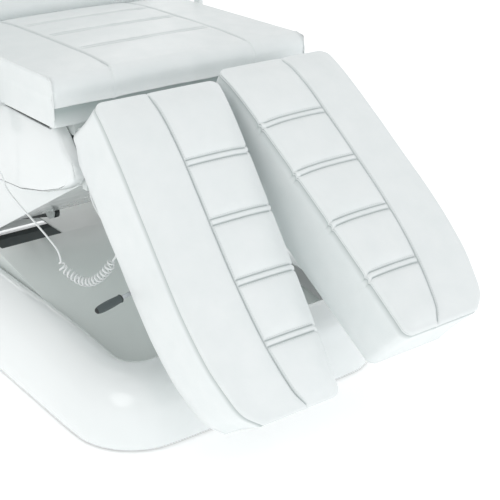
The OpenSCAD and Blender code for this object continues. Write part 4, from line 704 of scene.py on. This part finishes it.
seatFacts = {
    "length": 520, "width": 600, "top": 690, "base": 586, "skirt": 18, "edge": 30, "lowEdge": 8,
    "pull": 2.0, "crown": 7, "corner": 6, "seamPlace": "low", "seams": (139, 288, 414), "half": 5,
    "strip": 168, "seamReach": 157, "groove": 2.6, "puff": 4.0, "sidePuff": 2.5, "taper": 0.0,
    "crumple": 0.9, "stitch": 3.2, "threadRadius": 0.45, "stitchStep": 5.0, "pipe": 2.2,
    "start": 0.0, "lift": -7, "seamAt": 0.4, "sideShare": 0.25, "frontWelt": 12,
}
backFacts = {
    "length": 780, "width": 560, "top": 42, "base": -48, "edge": 30, "lowEdge": 8, "pull": 2.0,
    "crown": 12, "corner": 34, "seamPlace": "low", "seams": (120, 255, 390, 525), "half": 5,
    "strip": 160, "seamReach": 150, "groove": 2.8, "puff": 5.0, "sidePuff": 3.5, "taper": 0.12,
    "crumple": 0.9, "stitch": 3.2, "threadRadius": 0.45, "stitchStep": 5.0, "pipe": 2.2,
    "start": 18.0, "lift": -6, "pitch": 50.0, "hingeY": 537, "hingeZ": 648,
}


def panelCushion(name, facts, body, matrix, replaced):    # seat and back are cut the same way
    l, half, strip = facts["length"], facts["half"], facts["strip"]
    edge = facts["edge"]
    rows = sorted(set(round(r, 3) for r in stops(
        [0, 2] + seamStops(facts["seams"], half, 10, l - 10) + [l - 2, l], 6.5)))
    widthAt = lambda s: facts["width"] * (1 - facts["taper"] * s ** 3)

    def colsAt(s):
        w = widthAt(s)
        k = strip / w
        near = [d / w for d in (-14, *nearSeam, 6, 14)]
        side = [lerp(0, 0.5 - k + near[0], t / 14) for t in range(14)]
        first = [0.5 - k + d for d in near]
        mid = [lerp(first[-1], 1 - first[-1], t / 40) for t in range(1, 40)]
        return side + first + mid + [1 - v for v in reversed(first)] \
            + [1 - v for v in reversed(side)]

    place = roundedPlan(facts, widthAt, 2, facts.get("sideShare", 1))

    def top(s, f):
        w, v = widthAt(s), s * l
        x = (f - 0.5) * w
        z = facts["top"] + facts["lift"] + facts["crown"] * (1 - (2 * s - 1) ** 4) * (
            1 - (2 * f - 1) ** 4)
        d = abs(x) - strip
        z -= facts["groove"] * (exp(-(d / 1.5) ** 2) + 0.4 * exp(-(d / 10) ** 2))
        # deep is painted shade in the seam grooves, passed on to the seamShade attribute
        deep = exp(-(d / 1.6) ** 2)
        if d < 0:
            a = (x + strip) / (2 * strip)
            bounds = [-20, *facts["seams"], l + 20]
            lo = max(b for b in bounds if b <= v + 0.001)
            hi = min(b for b in bounds if b > v)
            b = (v - lo) / (hi - lo)
            z += facts["puff"] * (1 - abs(2 * a - 1) ** 4) * (1 - abs(2 * b - 1) ** 3)
            for p in facts["seams"]:
                if abs(v - p) < half + 14:
                    q = abs(abs(v - p) - half)
                    fade = smooth((facts["seamReach"] - abs(x)) / 6)
                    z -= fade * facts["groove"] * (exp(-(q / 1.4) ** 2) + 0.4 * exp(-(q / 9) ** 2))
                    z += fade * 1.0 * exp(-((v - p) / 3.6) ** 2)
                    z += 0.7 * noise.noise(Vector((x / 18, p, 0))) * exp(
                        -(max(0, abs(v - p) - half) / 12) ** 2)
                    deep = max(deep, fade * exp(-(q / 1.5) ** 2))
        else:
            a = d / (w / 2 - strip)
            z += facts["sidePuff"] * (1 - abs(2 * a - 1) ** 3) * (1 - abs(2 * s - 1) ** 6)
        return z, min(1, deep * 0.7)

    pad, line = cushion(name, facts, rows, colsAt, place, top, body, matrix, replaced)
    if "frontWelt" in facts:    # across the front only; the side panels have a fine seam instead
        inner = matrix.inverted()
        line = sorted((p for p in line if (inner @ p).y < facts["frontWelt"]),
                      key=lambda p: p.x)
        for sx, label in ((-1, "Left"), (1, "Right")):
            run = [Vector((sx * (widthAt(t) / 2 - 2.2), facts["start"] + lerp(edge, l - edge, t),
                           top(t, 0)[0] - 2.2)) for t in (k / 40 for k in range(39, -1, -1))]
            z = top(0, 0)[0]
            run += [Vector((sx * (widthAt(0) / 2 - 1), facts["start"] + edge * (1 - sin(a)) + 1,
                            z - edge * (1 - cos(a)) - 1))
                    for a in (k * pi / 20 for k in range(1, 11))]
            run += [run[-1] - Vector((0, 0, d)) for d in (12, 24, 36, 48)]
            softTube(name + "Seam" + label, [matrix @ p for p in run], 1.2, finish["piping"], body)
    softTube(name + "Welt", thinned(line, 0.004), facts["pipe"], finish["piping"], body,
             closed="frontWelt" not in facts)
    spot = lambda s, f: matrix @ Vector((*place(s, f, edge), top(s, f)[0] + 0.4))
    lines = []
    for x in (-strip - 3.4, -strip + 3.4, strip - 3.4, strip + 3.4):
        lines.append([spot(i / 140, 0.5 + x / widthAt(i / 140)) for i in range(1, 140)])
    for p in facts["seams"]:
        for d in (-half - 3, half + 3):
            s = (p + d) / l
            reach = (facts["seamReach"] - 2) / widthAt(s)
            lines.append([spot(s, 0.5 + lerp(-reach, reach, i / 50)) for i in range(51)])
    stitches(name + "Stitches", lines, facts, finish["thread"], body)
    print(name, len(pad.data.polygons), "faces")


panelCushion("seatPad", seatFacts, "seat", inRow, ["seat_cushion"])
backTurn = inRow @ Matrix.Translation((0, backFacts["hingeY"], backFacts["hingeZ"])) \
    @ Matrix.Rotation(radians(backFacts["pitch"]), 4, "X")
panelCushion("backPad", backFacts, "back", backTurn, ["back_cushion"])


# Head cushion, loose over the back's end, with a shallow hollow for the head
pillowFacts = {
    "length": 150, "width": 300, "start": 588, "base": 47.3, "thick": 60, "dip": 15, "hollow": 9,
    "edge": 24, "lowEdge": 8, "pull": 3.0, "corner": 30, "seamPlace": "low", "crumple": 1.1,
    "pipe": 2.0,
}


def pillow():
    facts = pillowFacts
    l, w = facts["length"], facts["width"]
    rows = stops([0, 2, l - 2, l], 5)
    columns = stops([0, 0.01, 0.99, 1], 1 / 56)

    place = roundedPlan(facts, lambda s: w, 4)

    def top(s, f):
        a, b = 1 - (2 * s - 1) ** 4, 1 - (2 * f - 1) ** 4
        z = facts["base"] + facts["thick"] - 1.5 - facts["dip"] * (1 - a * b)
        return z - facts["hollow"] * exp(-((f - 0.5) / 0.2) ** 2) * a, 0

    pad, line = cushion("headPillow", facts, rows, lambda s: columns, place, top, "back", backTurn,
                        ["head_pillow"])
    softTube("headPillowWelt", thinned(line, 0.004), facts["pipe"], finish["piping"], "back",
             closed=True)


pillow()


# Armrest pads, firm foam under the same leather
armFacts = {
    "length": 266, "width": 64, "start": 130, "centre": 334.5, "top": 880, "base": 846, "edge": 10,
    "crown": 5, "lowEdge": 3, "pull": 1.0, "corner": 22, "seamPlace": "low", "crumple": 0.3,
    "pipe": 1.4,
}


def armPad(side):
    facts = armFacts
    l, w = facts["length"], facts["width"]
    sign = 1 if side == "right" else -1
    rows = stops([0, 2, l - 2, l], 6)
    columns = stops([0, 0.04, 0.96, 1], 1 / 14)

    place = roundedPlan(facts, lambda s: w, 3)

    def top(s, f):
        return facts["top"] - 0.4 - facts["crown"] * (
            1 - (1 - (2 * s - 1) ** 4) * (1 - (2 * f - 1) ** 2)), 0

    matrix = inRow @ Matrix.Translation((sign * facts["centre"], 0, 0))
    pad, line = cushion("armPad_" + side, facts, rows, lambda s: columns, place, top,
                        "armrest_" + side, matrix, ["armrest_pad_" + side])
    softTube("armPadWelt_" + side, thinned(line, 0.003), facts["pipe"], finish["piping"],
             "armrest_" + side, closed=True)


for side in ("left", "right"):
    armPad(side)
print("head cushion and armrest pads made")


# Hard pieces: each finish by its slot, and a softened copy of the pieces that show
finishOf = {
    "frame_paint": "framePaint", "arm_paint": "armPaint", "upholstery": "upholstery",
    "white_shell": "whiteShell", "deck_shell": "deckShell", "board": "board",
    "motor_case": "motorCase", "bright_steel": "steel", "armrest_metal": "armrestPaint",
    "foot_rubber": "footRubber", "grip_rubber": "gripRubber", "inlet_plastic": "inlet",
    "handset_plastic": "handset", "key_plastic": "keys", "cord_jacket": "cord",
}
for name, obj in nodes.items():
    for holder in obj.material_slots:
        slotName = holder.material.name.split(".")[0]
        holder.material = finish[finishOf[slotName]]

# Painted shade: the base frame, grey-white in its own paint, and the lift motor get a dark grey,
# as they show only through the shaded slot
for name in ("base_frame", "lift_motor"):
    for holder in nodes[name].material_slots:
        holder.material = finish["darkInside"]

# Edge radius in mm and how far facets may turn before they count as an edge
softened = {
    "carriage_shell": (1.8, 25), "mechanism_cover": (1.8, 25),
    "seat_side_cover_left": (6.0, 30), "seat_side_cover_right": (6.0, 30),
    "armrest_arm_left": (2.5, 35), "armrest_arm_right": (2.5, 35), "armrest_brackets": (1.6, 35),
    "handset_shell": (0.8, 35), "control_box": (2.0, 35), "carriage_frame": (1.2, 35),
    "seat_frame": (1.5, 35), "back_frame": (1.5, 35), "back_board": (2.0, 35),
    "seat_board": (2.0, 35), "base_frame": (1.5, 35), "lower_lift_arms": (1.2, 35),
    "upper_lift_arms": (1.2, 35), "leg_frame_left": (1.2, 35), "leg_frame_right": (1.2, 35),
    "leg_yoke_left": (1.0, 35), "leg_yoke_right": (1.0, 35), "handset_socket": (0.6, 35),
    "seat_up_key": (0.8, 35), "seat_down_key": (0.8, 35), "back_up_key": (0.8, 35),
    "back_down_key": (0.8, 35), "tilt_up_key": (0.8, 35), "tilt_down_key": (0.8, 35),
}
bodyOfNode = {n: body for body, members in frame["record"]["behaviour"]["bodies"].items()
              for n in members}


mergeWithin = 0.00002    # metres


def softCopy(node, radius, angle):    # one skin in place of the facets, with rounded edges
    bm = bmesh.new()
    bm.from_mesh(nodes[node].data)
    bmesh.ops.remove_doubles(bm, verts=bm.verts, dist=mergeWithin)
    bmesh.ops.dissolve_limit(bm, angle_limit=radians(0.6), verts=bm.verts, edges=bm.edges,
                             delimit={"NORMAL"})
    obj = newPiece(node + "Soft", bm, nodes[node].material_slots[0].material,
                   bodyOfNode[node], [node])
    edges = obj.modifiers.new("edges", "BEVEL")
    edges.width = radius / 1000
    edges.segments = 3
    edges.limit_method = "ANGLE"
    edges.angle_limit = radians(angle)
    edges.harden_normals = True
    edges.use_clamp_overlap = True


for node, (radius, angle) in softened.items():
    softCopy(node, radius, angle)
print("softened pieces:", len(softened))


# Base shell: a gel-coated moulding, so its facets are merged and rounded
bm = bmesh.new()
bm.from_mesh(nodes["base_shell"].data)
bmesh.ops.remove_doubles(bm, verts=bm.verts, dist=mergeWithin)
bmesh.ops.join_triangles(bm, faces=bm.faces, angle_face_threshold=radians(40),
                         angle_shape_threshold=radians(40))
baseSkin = newPiece("baseSkin", bm, finish["whiteShell"], "base", ["base_shell"])
rounder = baseSkin.modifiers.new("round", "SUBSURF")
rounder.levels = rounder.render_levels = 2


# Rubber grips of the release levers: an oval sleeve with a rim and a hole at its end
gripFacts = {
    "pivot": (206, -255, -40), "lean": 10, "start": 92, "length": 60, "width": 17, "thick": 13,
    "outline": [(0, 0), (0, 0.55), (0.01, 0.74), (0.035, 0.84), (0.045, 0.95), (0.075, 0.96),
                (0.09, 0.86), (0.2, 0.91), (0.4, 0.985), (0.55, 1), (0.75, 0.96), (0.87, 0.86),
                (0.945, 0.72), (0.985, 0.56), (1, 0.42), (1, 0.27), (0.985, 0.24), (0.9, 0.22),
                (0.9, 0)],
    "rimEnd": 0.08, "tipStart": 0.95, "around": 36,
}


def grip(side):
    facts = gripFacts
    sign = 1 if side == "right" else -1
    matrix = inRow @ Matrix.Translation((0, legFacts["hingeY"], legFacts["hingeZ"])) \
        @ Matrix.Rotation(radians(legFacts["pitch"][side]), 4, "X") \
        @ Matrix.Diagonal((sign, 1, 1, 1)) @ Matrix.Translation(facts["pivot"]) \
        @ Matrix.Rotation(-radians(facts["lean"]), 4, "Z")
    bm = bmesh.new()
    outline = [bm.verts.new((facts["start"] + facts["length"] * t, facts["width"] / 2 * r, 0))
               for t, r in facts["outline"]]
    run = [bm.edges.new(pair) for pair in zip(outline, outline[1:])]
    bmesh.ops.spin(bm, geom=outline + run, cent=(0, 0, 0), axis=(1, 0, 0), angle=2 * pi,
                   steps=facts["around"], use_merge=True)
    bmesh.ops.remove_doubles(bm, verts=bm.verts, dist=0.01)
    bmesh.ops.scale(bm, vec=(1, 1, facts["thick"] / facts["width"]), verts=bm.verts)
    for face in bm.faces:
        t = (face.calc_center_median().x - facts["start"]) / facts["length"]
        face.material_index = 1 if t < facts["rimEnd"] or t > facts["tipStart"] else 0
    bmesh.ops.recalc_face_normals(bm, faces=bm.faces)
    sleeve = newPiece("leverGrip_" + side, bm, finish["gripRubber"], "lever_" + side,
                      ["lever_grip_" + side], matrix)
    sleeve.data.materials.append(finish["gripRim"])


for side in ("left", "right"):
    grip(side)
print("grips made")


# Light, floor and backdrop

stage = {"aim": (0, -0.1, 0.4), "floor": 14.0, "floorColour": "FCFDFD", "floorGlow": 0.3,
         "world": 0.78,
         "lamps": [("keyLamp", (-3.6, -3.0, 1.9), 2.6, 27, "FFFFFF"),
                   ("fillLamp", (2.2, -3.6, 1.4), 2.6, 17, "F4F8FF"),
                   ("topLamp", (0.2, 0.6, 3.9), 3.0, 6, "FFFFFF"),
                   ("backLamp", (1.5, 3.2, 2.6), 2.2, 10, "FFFFFF")]}

bm = bmesh.new()
bmesh.ops.create_grid(bm, x_segments=1, y_segments=1, size=stage["floor"] / 2)
floorMesh = bpy.data.meshes.new("floor")
bm.to_mesh(floorMesh)
bm.free()
studioFloor = bpy.data.objects.new("floor", floorMesh)
bpy.context.scene.collection.objects.link(studioFloor)
floorMaterial, tree, shader, place = startMaterial("paleStudioFloor")
surface(shader, Base_Color=linear(stage["floorColour"]), Roughness=0.9,
        Emission_Color=(1, 1, 1, 1), Emission_Strength=stage["floorGlow"])
grit = addNode(tree, "ShaderNodeTexNoise", [("Vector", place)], Scale=3, Detail=2)
rough = addNode(tree, "ShaderNodeMapRange", [("Value", grit.outputs["Fac"])],
                **{"To_Min": 0.85, "To_Max": 0.95})
tree.links.new(rough.outputs["Result"], shader.inputs["Roughness"])
floorMesh.materials.append(floorMaterial)

world = bpy.data.worlds.new("studio")
bpy.context.scene.world = world
world.use_nodes = True
tree = world.node_tree
tree.nodes.clear()
sky = addNode(tree, "ShaderNodeBackground", Color=linear("FFFFFF"), Strength=stage["world"])
seen = addNode(tree, "ShaderNodeBackground", Color=(1, 1, 1, 1), Strength=1.0)
path = addNode(tree, "ShaderNodeLightPath")
seenWhite = addNode(tree, "ShaderNodeMath", [(0, path.outputs["Is Camera Ray"]),
                    (1, path.outputs["Is Glossy Ray"])], operation="ADD")
seenWhite = addNode(tree, "ShaderNodeMath", [(0, seenWhite.outputs[0]),
                    (1, path.outputs["Is Transmission Ray"])], operation="ADD")
mixed = addNode(tree, "ShaderNodeMixShader", [(0, seenWhite.outputs[0]),
                (1, sky.outputs[0]), (2, seen.outputs[0])])
addNode(tree, "ShaderNodeOutputWorld", [("Surface", mixed.outputs[0])])

for name, spot, size, power, colour in stage["lamps"]:
    lamp = bpy.data.lights.new(name, "AREA")
    lamp.shape = "DISK"
    lamp.size = size
    lamp.energy = power
    lamp.color = linear(colour)[:3]
    lampObj = bpy.data.objects.new(name, lamp)
    bpy.context.scene.collection.objects.link(lampObj)
    lampObj.location = spot
    lampObj.rotation_euler = (Vector(stage["aim"]) - Vector(spot)).to_track_quat(
        "-Z", "Y").to_euler()

bpy.context.scene.view_settings.view_transform = "Standard"
print("stage set")
